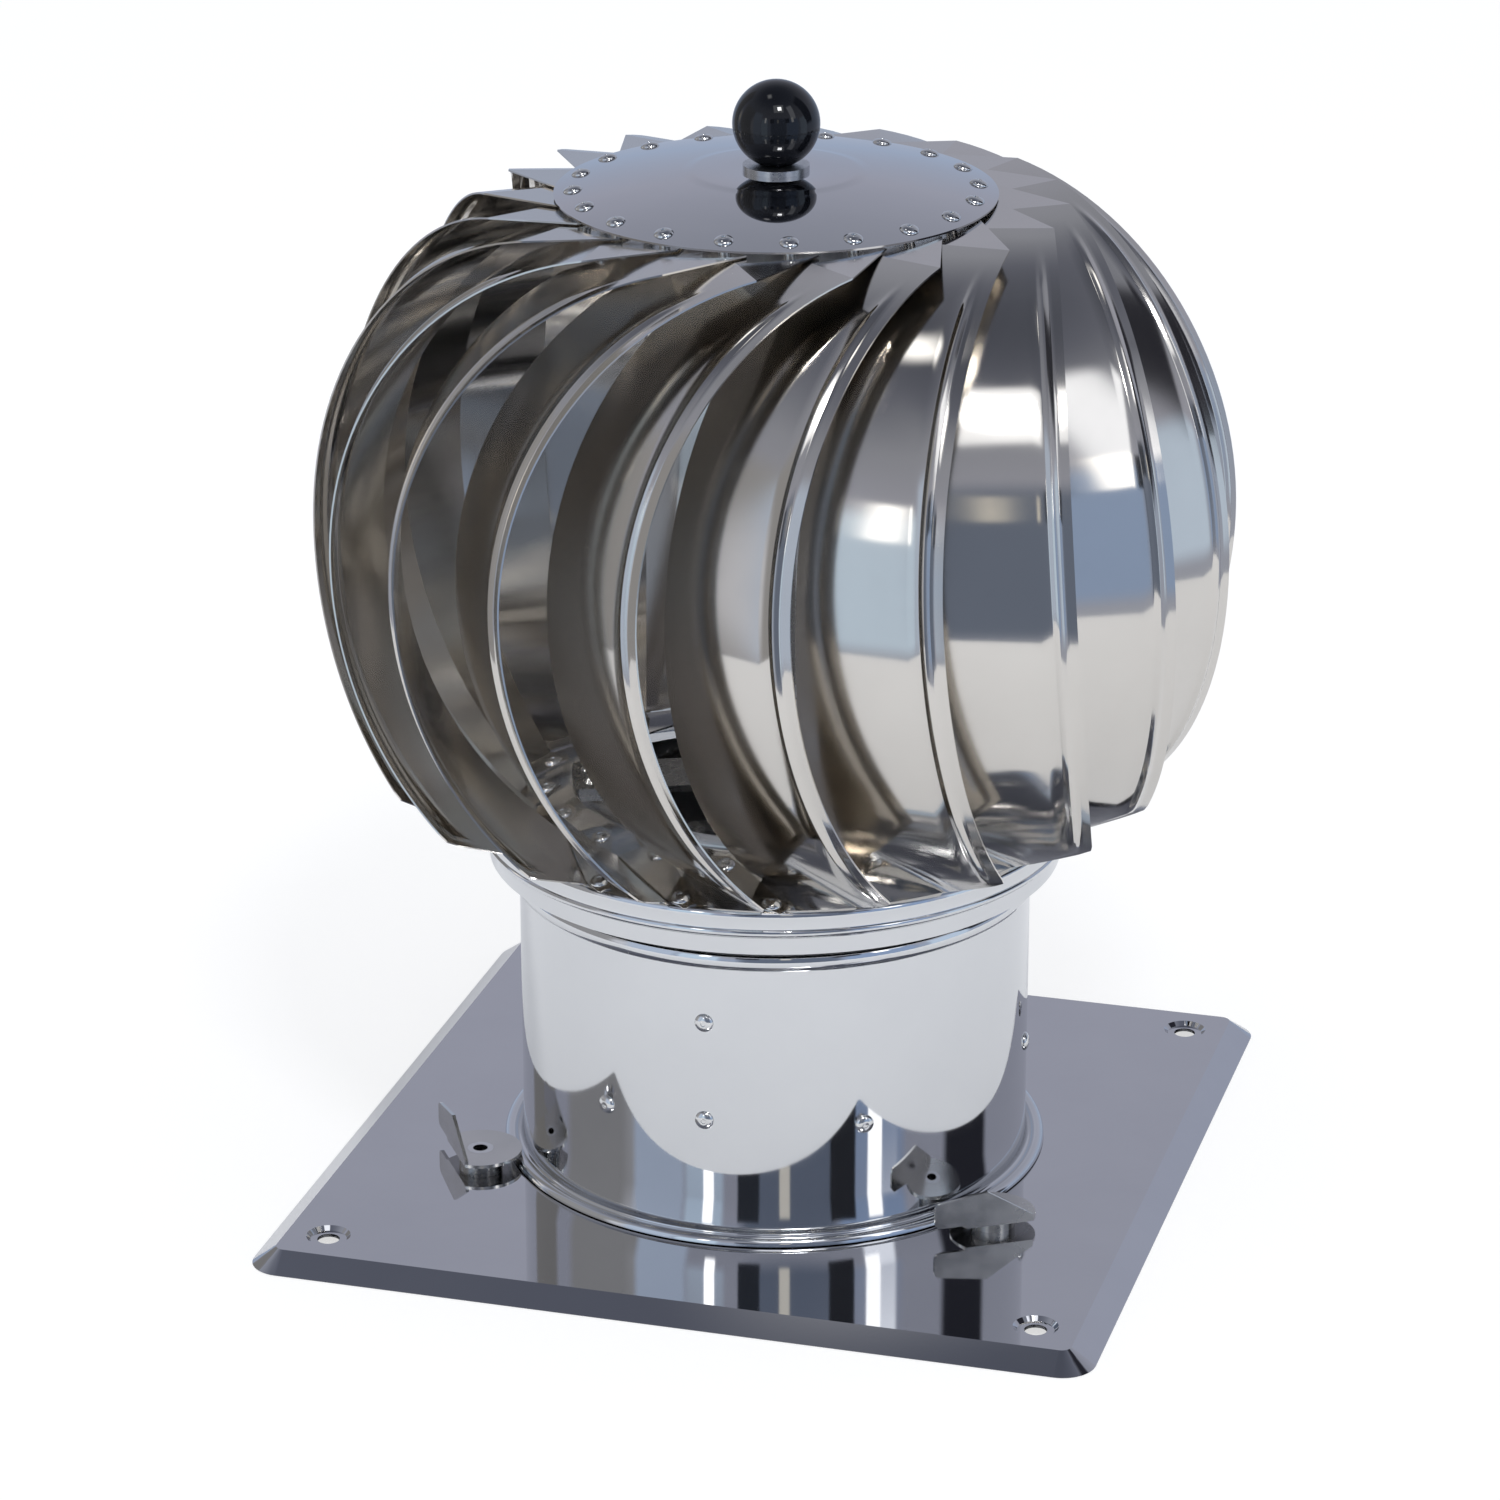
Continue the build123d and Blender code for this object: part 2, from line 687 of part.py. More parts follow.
with BuildPart() as hub_rivets:
    with Locations(Plane.XY.offset(flange_top).rotated((0, 0, bar_angle))):
        with PolarLocations(hub_rivet_radius, hub_rivet_count):
            add(rivet(bar_sheet + lower_flange_sheet + rivet_slack))
save(hub_rivets, "hub_rivets")

with BuildPart() as bar_rivets:
    with Locations(Plane.XY.offset(bar_top).rotated((0, 0, bar_angle))):
        with GridLocations(2 * bar_rivet_radius, bar_rivet_spacing, 2, 2):
            add(rivet(bar_sheet + ring_sheet + rivet_slack))
save(bar_rivets, "bar_rivets")


# Top disc: one low dome over the vane tabs, with a flat middle for the hub and the knob
boss_middle = dome_height(disc_boss_radius) + disc_boss_rise
boss_top = boss_middle + disc_sheet / 2
hub_top = boss_top - disc_sheet
disc_rivet_planes = [dome_plane(angle + disc_rivet_turn) for angle in vane_angles]

with BuildPart() as top_disc:
    with BuildSketch(Plane.XZ):
        with BuildLine():
            dome_radii = (disc_radius, (disc_radius + disc_boss_radius) / 2, disc_boss_radius)
            ThreePointArc(*[(radius, dome_height(radius)) for radius in dome_radii])
            Polyline(
                (disc_boss_radius, dome_height(disc_boss_radius)),
                (disc_boss_radius - disc_boss_step, boss_middle),
                (stud_radius + stud_hole_clearance, boss_middle),
            )
        trace(line_width=disc_sheet)
    revolve(axis=Axis.Z)
    with BuildSketch(*disc_rivet_planes):
        Circle(rivet_shank_radius)
    extrude(amount=trim_margin, both=True, mode=Mode.SUBTRACT)
save(top_disc, "top_disc")

with BuildPart() as disc_rivets:
    with Locations(*disc_rivet_planes):
        add(rivet(disc_grip))
save(disc_rivets, "disc_rivets")

# Upper hub: a turned cup under the disc, with a flange, the bearing's pocket and the stud's hole
relief_top = hub_top - hub_cap
upper_bearing_top = relief_top - hub_relief_depth
upper_bearing_floor = upper_bearing_top - upper_bearing_width
hub_radius = upper_bearing_radius + hub_wall

with BuildPart() as upper_hub:
    with BuildSketch(Plane.XZ):
        with BuildLine():
            Polyline(
                (upper_bearing_radius, upper_bearing_floor),
                (hub_radius, upper_bearing_floor),
                (hub_radius, hub_top - hub_flange_height),
                (hub_flange_radius, hub_top - hub_flange_height),
                (hub_flange_radius, hub_top),
                (stud_radius, hub_top),
                (stud_radius, relief_top),
                (hub_relief_radius, relief_top),
                (hub_relief_radius, upper_bearing_top),
                (upper_bearing_radius, upper_bearing_top),
                close=True,
            )
        make_face()
    revolve(axis=Axis.Z)
save(upper_hub, "upper_hub")


# Knob: washer, stud and ball
washer_top = boss_top + knob_washer_sheet
knob_centre = washer_top + sqrt(knob_radius**2 - knob_flat_radius**2)

with BuildPart() as knob_washer:
    with BuildSketch(Plane.XY.offset(boss_top)):
        Circle(knob_washer_radius)
        Circle(stud_radius + stud_hole_clearance, mode=Mode.SUBTRACT)
    extrude(amount=knob_washer_sheet)
save(knob_washer, "knob_washer")

with BuildPart() as knob_stud:
    with BuildSketch(Plane.XY.offset(hub_top - stud_depth)):
        Circle(stud_radius)
    extrude(amount=washer_top + knob_hole_depth - hub_top + stud_depth)
save(knob_stud, "knob_stud")

with BuildPart() as knob:
    with BuildSketch(Plane.XZ):
        with BuildLine():
            ThreePointArc(
                (knob_flat_radius, washer_top),
                (knob_radius, knob_centre),
                (0, knob_centre + knob_radius),
            )
            Polyline(
                (0, knob_centre + knob_radius),
                (0, washer_top + knob_hole_depth),
                (stud_radius, washer_top + knob_hole_depth),
                (stud_radius, washer_top),
                (knob_flat_radius, washer_top),
            )
        make_face()
    revolve(axis=Axis.Z)
save(knob, "knob")


# Fixed axle: a shoulder on the bracket, a journal for the lower bearing and a shoulder for the upper one
washer_seat = arm_floor - washer_sheet
nut_floor = washer_seat - nut_height
axle_top = upper_bearing_top + axle_end_above_bearing
groove_radius = axle_end_radius - circlip_groove_depth

with BuildPart() as axle:
    with BuildSketch(Plane.XZ):
        with BuildLine():
            Polyline(
                (0, nut_floor - thread_past_nut),
                (axle_end_radius, nut_floor - thread_past_nut),
                (axle_end_radius, axle_seat),
                (axle_radius, axle_seat),
                (axle_radius, upper_bearing_floor),
                (axle_end_radius, upper_bearing_floor),
                (axle_end_radius, upper_bearing_top),
                (groove_radius, upper_bearing_top),
                (groove_radius, upper_bearing_top + circlip_sheet),
                (axle_end_radius, upper_bearing_top + circlip_sheet),
                (axle_end_radius, axle_top),
                (0, axle_top),
                close=True,
            )
        make_face()
    revolve(axis=Axis.Z)
save(axle, "axle")

with BuildPart() as axle_circlip:
    with BuildSketch(Plane.XY.offset(upper_bearing_top)):
        Circle(circlip_radius)
        Circle(groove_radius, mode=Mode.SUBTRACT)
        Rectangle(circlip_radius, circlip_opening, align=(Align.MIN, Align.CENTER), mode=Mode.SUBTRACT)
    extrude(amount=circlip_sheet)
save(axle_circlip, "axle_circlip")

with BuildPart() as axle_washer:
    with BuildSketch(Plane.XY.offset(washer_seat)):
        Circle(washer_radius)
        Circle(axle_end_radius + axle_washer_clearance, mode=Mode.SUBTRACT)
    extrude(amount=washer_sheet)
save(axle_washer, "axle_washer")

with BuildPart() as axle_nut:
    with BuildSketch(Plane.XY.offset(nut_floor)):
        RegularPolygon(nut_across_flats / 2, 6, major_radius=False)
        Circle(axle_end_radius, mode=Mode.SUBTRACT)
    extrude(amount=nut_height)
save(axle_nut, "axle_nut")

# Shielded ball bearings: each has an inner ring on the axle and an outer ring in its hub
bearings = (
    ("upper", axle_end_radius, upper_bearing_radius, upper_bearing_floor, upper_bearing_width),
    ("lower", axle_radius, lower_bearing_radius, lower_bearing_floor, lower_bearing_width),
)
for place, bore, outside, floor, width in bearings:
    with BuildPart() as inner_ring:
        with BuildSketch(Plane.XY.offset(floor)):
            Circle(bore + inner_ring_wall)
            Circle(bore, mode=Mode.SUBTRACT)
        extrude(amount=width)
    save(inner_ring, f"{place}_bearing_inner")
    with BuildPart() as outer_ring:
        with BuildSketch(Plane.XY.offset(floor)):
            Circle(outside)
            Circle(bore + inner_ring_wall + bearing_gap, mode=Mode.SUBTRACT)
        extrude(amount=width)
    save(outer_ring, f"{place}_bearing_outer")


# Swivel clips: a round plate cut by a fold, with an upright lug that runs past one end of the fold
clip_floor = plate_rise + spacer_height + clip_play
clip_top = clip_floor + clip_sheet
fold_half = sqrt(clip_radius**2 - clip_bend_distance**2)
lug_end = -fold_half - clip_lug_overhang
countersink_slope = degrees(atan((eyelet_head_radius - eyelet_radius) / clip_sheet))

for name, angle in clip_angles.items():
    seat = level_plane(clip_pivot_radius, angle, clip_floor).rotated((0, 0, clip_turns[name]))
    fold = Plane(
        origin=seat.from_local_coords((clip_bend_distance, 0, 0)), x_dir=seat.y_dir, z_dir=seat.x_dir
    )
    with BuildPart() as clip:
        with BuildSketch(seat):
            Circle(clip_radius)
            with Locations((clip_bend_distance, 0)):
                Rectangle(clip_radius, 2 * clip_radius, align=(Align.MIN, Align.CENTER), mode=Mode.SUBTRACT)
        extrude(amount=clip_sheet)
        with BuildSketch(fold):
            with BuildLine():
                Polyline(
                    (fold_half, 0),
                    (fold_half, clip_sheet + clip_lug_notch),
                    (clip_lug_peak - fold_half, clip_lug_height),
                    (lug_end, clip_lug_end_height),
                    (lug_end, clip_lug_notch),
                    (-fold_half - clip_lug_notch, clip_lug_notch),
                    (-fold_half, 0),
                    close=True,
                )
            make_face()
            fillet(vertices().group_by(Axis.X)[0], radius=clip_lug_round)
        extrude(amount=-clip_sheet)
        with BuildSketch(seat.offset(clip_sheet)):
            Circle(eyelet_head_radius + clip_play)
        extrude(amount=-clip_sheet, taper=countersink_slope, mode=Mode.SUBTRACT)
    save(clip, name)

pivot_planes = [level_plane(clip_pivot_radius, angle, 0) for angle in clip_angles.values()]

with BuildPart() as clip_spacers:
    with BuildSketch(*[plane.offset(plate_rise) for plane in pivot_planes]):
        Circle(spacer_radius)
        Circle(eyelet_radius, mode=Mode.SUBTRACT)
    extrude(amount=spacer_height)
save(clip_spacers, "clip_spacers")

with BuildPart() as one_eyelet:
    with BuildSketch(Plane.XZ):
        with BuildLine():
            Polyline(
                (eyelet_bore_radius, tray_depth - eyelet_sheet),
                (eyelet_tail_radius, tray_depth - eyelet_sheet),
                (eyelet_tail_radius, tray_depth),
                (eyelet_radius, tray_depth),
                (eyelet_radius, clip_floor),
                (eyelet_head_radius, clip_top),
                (eyelet_bore_radius, clip_top),
                close=True,
            )
        make_face()
    revolve(axis=Axis.Z)

with BuildPart() as clip_eyelets:
    with Locations(*pivot_planes):
        add(one_eyelet.part)
save(clip_eyelets, "clip_eyelets")
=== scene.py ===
# %% [markdown]
# A roof turbine ventilator in polished stainless sheet: a ball of curved vanes spins on a short collar and
# draws air out of the duct below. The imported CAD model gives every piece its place. This file gives the
# sheets smooth mirror faces, pressed ribs and rolled edges, and then the finishes and the light.

import bmesh
import bpy
from math import asin, cos, degrees, hypot, pi, radians, sin, sqrt, tan
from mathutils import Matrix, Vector


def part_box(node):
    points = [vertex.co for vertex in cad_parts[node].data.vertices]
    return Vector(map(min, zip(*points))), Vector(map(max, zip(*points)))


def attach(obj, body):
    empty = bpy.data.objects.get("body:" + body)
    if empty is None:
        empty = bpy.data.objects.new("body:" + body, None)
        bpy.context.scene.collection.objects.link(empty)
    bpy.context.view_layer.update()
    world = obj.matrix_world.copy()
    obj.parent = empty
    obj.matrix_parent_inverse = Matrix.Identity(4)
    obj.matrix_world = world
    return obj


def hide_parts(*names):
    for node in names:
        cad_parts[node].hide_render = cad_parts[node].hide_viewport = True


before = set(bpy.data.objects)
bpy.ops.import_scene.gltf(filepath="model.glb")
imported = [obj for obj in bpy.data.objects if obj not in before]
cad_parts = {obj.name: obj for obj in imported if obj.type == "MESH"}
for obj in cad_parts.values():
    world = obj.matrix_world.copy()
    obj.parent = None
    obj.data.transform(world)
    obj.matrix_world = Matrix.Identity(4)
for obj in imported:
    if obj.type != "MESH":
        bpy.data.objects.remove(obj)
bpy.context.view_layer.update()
MM = 0.001

# %% [markdown]
# The camera comes first, because every later choice is judged through it. The photograph was taken with a
# long lens from 21 degrees above, a little to the right of the plate's front side.

# %% The camera
CAMERA_PLACE = Vector((0.3933, -1.4230, 0.7025))
CAMERA_AIM = Vector((-0.00714, -0.00201, 0.12815))
CAMERA_LENS = 128.66

bpy.ops.object.select_all(action="DESELECT")
bpy.ops.object.camera_add(location=CAMERA_PLACE)
camera = bpy.context.object
camera.name = "photo_camera"
camera.data.sensor_width = 36
camera.data.lens = CAMERA_LENS
camera.rotation_euler = (CAMERA_AIM - CAMERA_PLACE).to_track_quat("-Z", "Y").to_euler()
bpy.context.scene.camera = camera
print("camera looks along", [round(part, 3) for part in (CAMERA_AIM - CAMERA_PLACE).normalized()])

# %% [markdown]
# Three helpers serve every piece. The first picks points of the mesh in edit mode, by a test that is given
# each point. The second adds a modifier and applies it. The third closes a piece: its place goes into its
# mesh, it gets its name and its finish, it rides on its CAD body, and it stands for the node that it refines.


# %% Helpers for picking points and closing pieces
def pick(piece, wanted):
    """Select, in edit mode, the points that pass the test, with the edges and faces between them."""
    mesh = bmesh.from_edit_mesh(piece.data)
    mesh.verts.ensure_lookup_table()
    for point in mesh.verts:
        point.select = wanted(point)
    mesh.select_flush_mode()
    bmesh.update_edit_mesh(piece.data)


def use_modifier(piece, kind, **settings):
    """Add a modifier, set it and apply it, with only this piece selected."""
    bpy.ops.object.select_all(action="DESELECT")
    piece.select_set(True)
    bpy.context.view_layer.objects.active = piece
    modifier = piece.modifiers.new(kind.lower(), kind)
    for name, value in settings.items():
        setattr(modifier, name, value)
    bpy.ops.object.modifier_apply(modifier=modifier.name)


def close_piece(piece, name, body, material, nodes, smooth_angle=30):
    """Name a piece, smooth it, give it its finish and its body, and hide the nodes that it stands for."""
    bpy.ops.object.select_all(action="DESELECT")
    piece.select_set(True)
    bpy.context.view_layer.objects.active = piece
    bpy.ops.object.transform_apply(location=True, rotation=True, scale=True)
    bpy.ops.object.shade_smooth_by_angle(angle=radians(smooth_angle))
    piece.name = name
    piece.data.name = name
    piece.data.materials.clear()
    piece.data.materials.append(material)
    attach(piece, body)
    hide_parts(*nodes)


# %% [markdown]
# Materials are trees of nodes, and one small function adds a node with its settings, its values and its
# links. Colours are written as on a screen, in sRGB, so a second function turns them to the linear values
# that a shader needs.


# %% Helpers for materials
def linear(code):
    """Linear colour of an sRGB hex code."""
    parts = [int(code[start:start + 2], 16) / 255 for start in (1, 3, 5)]
    curve = [part / 12.92 if part <= 0.04045 else ((part + 0.055) / 1.055) ** 2.4 for part in parts]
    return tuple(curve) + (1,)


def add_node(tree, kind, settings=None, values=None, links=None):
    """Add one node, with its settings, the values of its inputs and the sockets that feed them."""
    node = tree.nodes.new(kind)
    for name, value in (settings or {}).items():
        setattr(node, name, value)
    for socket, value in (values or {}).items():
        node.inputs[socket].default_value = value
    for socket, source in (links or {}).items():
        tree.links.new(source, node.inputs[socket])
    return node


def new_material(name):
    """An empty material with its shader and output, and the Object coordinates of the piece."""
    material = bpy.data.materials.new(name)
    material.use_nodes = True
    tree = material.node_tree
    tree.nodes.clear()
    shader = add_node(tree, "ShaderNodeBsdfPrincipled")
    add_node(tree, "ShaderNodeOutputMaterial", links={"Surface": shader.outputs["BSDF"]})
    place = add_node(tree, "ShaderNodeTexCoord").outputs["Object"]
    return material, tree, shader, place


# %% [markdown]
# Stainless sheet of this kind is cold rolled between polished rolls, which leaves a mirror with a faint
# grain. The eye reads three things on it: a slow waviness that bends reflections, a film of fine
# scratches and wipe marks that softens them here and there, and the dark or bright room in it.


# %% Stainless sheet
def stainless_sheet(name, tint, gloss, haze, wave_mm, wave_depth_mm, grain_mm, brushed=0):
    """Mirror-rolled stainless: tint, roughness from gloss to haze, waviness, grain, blur across it."""
    material, tree, shader, place = new_material(name)
    shader.inputs["Metallic"].default_value = 1
    shader.inputs["Anisotropic"].default_value = brushed
    across = add_node(tree, "ShaderNodeTangent", {"direction_type": "RADIAL", "axis": "Z"})
    tree.links.new(across.outputs["Tangent"], shader.inputs["Tangent"])
    smudges = add_node(
        tree, "ShaderNodeTexNoise", values={"Scale": 1 / (35 * MM), "Detail": 4, "Roughness": 0.6},
        links={"Vector": place},
    )
    colour = add_node(
        tree, "ShaderNodeMix", {"data_type": "RGBA"}, {6: linear(tint[0]), 7: linear(tint[1])},
        {0: smudges.outputs["Fac"]},
    )
    roughness = add_node(
        tree, "ShaderNodeMapRange",
        values={"From Min": 0.35, "From Max": 0.75, "To Min": gloss, "To Max": haze},
        links={"Value": smudges.outputs["Fac"]},
    )
    waves = add_node(
        tree, "ShaderNodeTexNoise", values={"Scale": 1 / (wave_mm * MM), "Detail": 1},
        links={"Vector": place},
    )
    grain = add_node(
        tree, "ShaderNodeTexNoise", values={"Scale": 1 / (grain_mm * MM), "Detail": 2},
        links={"Vector": add_node(
            tree, "ShaderNodeMapping", values={"Scale": (1, 1, 0.08)}, links={"Vector": place}
        ).outputs["Vector"]},
    )
    wavy = add_node(
        tree, "ShaderNodeBump", values={"Strength": 1, "Distance": wave_depth_mm * MM},
        links={"Height": waves.outputs["Fac"]},
    )
    grainy = add_node(
        tree, "ShaderNodeBump", values={"Strength": 1, "Distance": GRAIN_DEPTH_MM * MM},
        links={"Height": grain.outputs["Fac"], "Normal": wavy.outputs["Normal"]},
    )
    tree.links.new(colour.outputs[2], shader.inputs["Base Color"])
    tree.links.new(roughness.outputs["Result"], shader.inputs["Roughness"])
    tree.links.new(grainy.outputs["Normal"], shader.inputs["Normal"])
    return material


GRAIN_MM = 0.8
GRAIN_DEPTH_MM = 0.0004
# The vanes look brushed along their length, and warmer than the rest, because they mirror each other.
vane_steel = stainless_sheet(
    "vane_stainless", ("#D6D2CC", "#CCC8C2"), 0.09, 0.14, 45, 0.05, GRAIN_MM, brushed=0.75
)
# The collar, ring, disc and plate are near mirrors, so the room stands sharp in them.
shell_steel = stainless_sheet("shell_stainless", ("#DADBDC", "#D2D3D5"), 0.03, 0.07, 60, 0.02, GRAIN_MM)
plate_steel = stainless_sheet("plate_stainless", ("#D2D2D4", "#C9C9CC"), 0.02, 0.06, 90, 0.02, GRAIN_MM)
# The clips are small stampings, worn by the press and by fingers, so their faces are cloudy.
clip_steel = stainless_sheet("clip_stainless", ("#D8D6D2", "#C4C2BE"), 0.14, 0.34, 8, 0.02, GRAIN_MM)
print("sheet finishes:", vane_steel.name, shell_steel.name, plate_steel.name, clip_steel.name)


# %% [markdown]
# The inner parts are plain machined or pressed steel, the hubs are turned alloy, and the rivets have the
# satin skin of drawn wire. Bright zinc and alloy scatter light more than the rolled sheet does.


# %% Plain metals
def satin_metal(name, tint, roughness, grain_mm, depth_mm):
    """Machined or drawn metal with fine turned marks."""
    material, tree, shader, place = new_material(name)
    shader.inputs["Metallic"].default_value = 1
    marks = add_node(
        tree, "ShaderNodeTexNoise", values={"Scale": 1 / (grain_mm * MM), "Detail": 3},
        links={"Vector": place},
    )
    colour = add_node(
        tree, "ShaderNodeMix", {"data_type": "RGBA"}, {6: linear(tint[0]), 7: linear(tint[1])},
        {0: marks.outputs["Fac"]},
    )
    spread = add_node(
        tree, "ShaderNodeMapRange", values={"To Min": roughness * 0.7, "To Max": roughness * 1.3},
        links={"Value": marks.outputs["Fac"]},
    )
    bumps = add_node(
        tree, "ShaderNodeBump", values={"Strength": 1, "Distance": depth_mm * MM},
        links={"Height": marks.outputs["Fac"]},
    )
    tree.links.new(colour.outputs[2], shader.inputs["Base Color"])
    tree.links.new(spread.outputs["Result"], shader.inputs["Roughness"])
    tree.links.new(bumps.outputs["Normal"], shader.inputs["Normal"])
    return material


# Rivets catch the light as small bright domes, pressed steel is duller, and turned alloy is pale.
rivet_steel = satin_metal("rivet_stainless", ("#E2E2E1", "#D2D2D1"), 0.13, 1.5, 0.01)
pressed_steel = satin_metal("pressed_steel", ("#B9B8B5", "#A6A5A2"), 0.28, 2.5, 0.02)
turned_alloy = satin_metal("turned_alloy", ("#C9CACB", "#B9BABC"), 0.3, 1.2, 0.02)
print("plain metals:", rivet_steel.name, pressed_steel.name, turned_alloy.name)

# %% [markdown]
# The knob is a moulded phenolic ball, polished to a deep black gloss. A plastic mirrors only a little
# light face on, so its highlights are small and sharp, and faint wipe marks show in them.

# %% Black phenolic
WIPE_MM = 6
knob_black, knob_tree, knob_shader, knob_place = new_material("black_phenolic")
knob_shader.inputs["IOR"].default_value = 1.46
knob_wipes = add_node(
    knob_tree, "ShaderNodeTexNoise", values={"Scale": 1 / (WIPE_MM * MM), "Detail": 4},
    links={"Vector": knob_place},
)
knob_haze = add_node(
    knob_tree, "ShaderNodeMapRange",
    values={"From Min": 0.4, "From Max": 0.8, "To Min": 0.03, "To Max": 0.07},
    links={"Value": knob_wipes.outputs["Fac"]},
)
knob_tone = add_node(
    knob_tree, "ShaderNodeMix", {"data_type": "RGBA"}, {6: linear("#0B0C10"), 7: linear("#14161B")},
    {0: knob_wipes.outputs["Fac"]},
)
knob_tree.links.new(knob_tone.outputs[2], knob_shader.inputs["Base Color"])
knob_tree.links.new(knob_haze.outputs["Result"], knob_shader.inputs["Roughness"])
print("knob finish:", knob_black.name)

# %% [markdown]
# A turned or spun shell is easiest to raise as a potter does: a circle of points is extruded up step by
# step, and each step is scaled about the axis to its radius. The list of steps is the outline of the
# middle of the sheet, and a Solidify modifier gives the sheet its thickness afterwards.


# %% Helpers for round pieces
def arc_steps(centre, radius, start, end, steps):
    """Points (radius, height) on an arc of an outline, angles in degrees from the outward direction."""
    turns = [radians(start + (end - start) * step / steps) for step in range(steps + 1)]
    return [(centre[0] + radius * cos(turn), centre[1] + radius * sin(turn)) for turn in turns]


def raise_ring(outline, sides=192):
    """Extrude a circle of points through an outline of (radius, height) in millimetres."""
    bpy.ops.object.select_all(action="DESELECT")
    bpy.ops.mesh.primitive_circle_add(vertices=sides, radius=outline[0][0] * MM)
    piece = bpy.context.object
    bpy.ops.object.mode_set(mode="EDIT")
    bpy.ops.mesh.select_all(action="SELECT")
    bpy.ops.transform.translate(value=(0, 0, outline[0][1] * MM))
    for (radius, height), (next_radius, next_height) in zip(outline, outline[1:]):
        growth = next_radius / radius
        rise = (next_height - height) * MM
        bpy.ops.mesh.extrude_edges_move(TRANSFORM_OT_translate={"value": (0, 0, rise)})
        bpy.ops.transform.resize(value=(growth, growth, 1), center_override=(0, 0, 0))
    return piece


def close_ends(piece):
    """Fill the open rings at both ends of a raised piece, and turn its faces outwards."""
    bpy.ops.mesh.select_all(action="DESELECT")
    bpy.ops.mesh.select_mode(type="EDGE")
    bpy.ops.mesh.select_non_manifold(extend=False)
    bpy.ops.mesh.edge_face_add()
    bpy.ops.mesh.select_mode(type="VERT")
    bpy.ops.mesh.select_all(action="SELECT")
    bpy.ops.mesh.normals_make_consistent(inside=False)
    bpy.ops.object.mode_set(mode="OBJECT")


def shell_from(outline, wall):
    """A raised shell of sheet, its outline in the middle of the wall."""
    piece = raise_ring(outline)
    bpy.ops.mesh.select_all(action="SELECT")
    bpy.ops.mesh.normals_make_consistent(inside=False)
    bpy.ops.object.mode_set(mode="OBJECT")
    use_modifier(piece, "SOLIDIFY", thickness=wall * MM, offset=0, use_even_offset=True)
    return piece


# %% [markdown]
# The collar is a pipe with a bead rolled round its foot and another under the rotor, which keeps rain
# from creeping up. Its sizes repeat the CAD model's, in millimetres.

# %% The duct collar
collar_low, collar_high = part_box("duct_collar")
SHEET = 0.6
PIPE_RADIUS = 76.0
WALL_RADIUS = PIPE_RADIUS - SHEET / 2
FOOT_BEAD = 1.9
DRIP_BEAD = 3.2
DRIP_BELOW_TOP = 11.5
WALL_START = 12.0
DRIP_RUN_IN = 3.0
foot_middle = collar_low.z / MM + SHEET / 2
bead_middle = collar_high.x / MM - SHEET / 2 - FOOT_BEAD
collar_top = collar_high.z / MM
drip_middle = collar_top - DRIP_BELOW_TOP

collar_outline = (
    arc_steps((bead_middle, foot_middle), FOOT_BEAD, 0, 180, 12)
    + arc_steps((bead_middle - FOOT_BEAD, foot_middle + FOOT_BEAD), FOOT_BEAD, 270, 180, 5)[1:]
    + [(WALL_RADIUS, foot_middle + WALL_START), (WALL_RADIUS, drip_middle - DRIP_BEAD - DRIP_RUN_IN)]
    + arc_steps((WALL_RADIUS, drip_middle), DRIP_BEAD, -90, 90, 14)
    + [(WALL_RADIUS, collar_top)]
)
collar = shell_from(collar_outline, SHEET)
close_piece(collar, "polished_collar", "base", shell_steel, ["duct_collar"])
print("collar faces:", len(collar.data.polygons))

# %% [markdown]
# The bottom ring carries the vanes' feet on its cone, and its skirt hangs over the drip bead. The rim
# between them is a tight roll, so the outline bends there through a small arc. A low ridge runs round the
# skirt, and below it the sheet hangs nearly upright, which is why it mirrors the ground and not the plate.

# %% The bottom ring
ring_low, ring_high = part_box("bottom_ring")
RIM_RADIUS = 87.4
RIM_ROLL = 1.5
CONE_SLOPE = radians(16)
LIP_INNER = 51.0
LIP_OUTER = 60.0
SKIRT_TOP_RADIUS = 84.9
SKIRT_FOOT_RADIUS = 84.6
SKIRT_BEND_DROP = 8.4
RIDGE_DROP = 6.5
RIDGE_ROLL = 1.0
RIDGE_INSET = 1.3
GROOVE_INSET = 0.9
GROOVE_DROP = 5.0
RING_OVER_COLLAR = 7.6
rim_height = collar_top + RING_OVER_COLLAR
ring_top = ring_high.z / MM
skirt_floor = ring_low.z / MM
lip_middle = ring_top - SHEET / 2
ring_drop = SHEET / 2 / cos(CONE_SLOPE)


def cone_height(radius):
    """Height of the ring's upper face at a radius."""
    return rim_height + (RIM_RADIUS - radius) * tan(CONE_SLOPE)


rim_middle = RIM_RADIUS - SHEET / 2 - RIM_ROLL
rim_bend = cone_height(rim_middle) - ring_drop - RIM_ROLL
ring_outline = (
    [(LIP_INNER, lip_middle), (LIP_OUTER - 1, lip_middle)]
    + [(radius, cone_height(radius) - ring_drop) for radius in (LIP_OUTER + 1, rim_middle - 4)]
    + arc_steps((rim_middle, rim_bend), RIM_ROLL, 74, -12, 8)
    + [(rim_middle + RIM_ROLL - GROOVE_INSET, rim_height - GROOVE_DROP)]
    + arc_steps((rim_middle + RIM_ROLL - RIDGE_INSET, rim_height - RIDGE_DROP), RIDGE_ROLL, 60, -60, 6)
    + [(SKIRT_TOP_RADIUS, rim_height - SKIRT_BEND_DROP), (SKIRT_FOOT_RADIUS, skirt_floor)]
)
ring = shell_from(ring_outline, SHEET)
close_piece(ring, "polished_bottom_ring", "rotor", shell_steel, ["bottom_ring"])
print("ring faces:", len(ring.data.polygons))

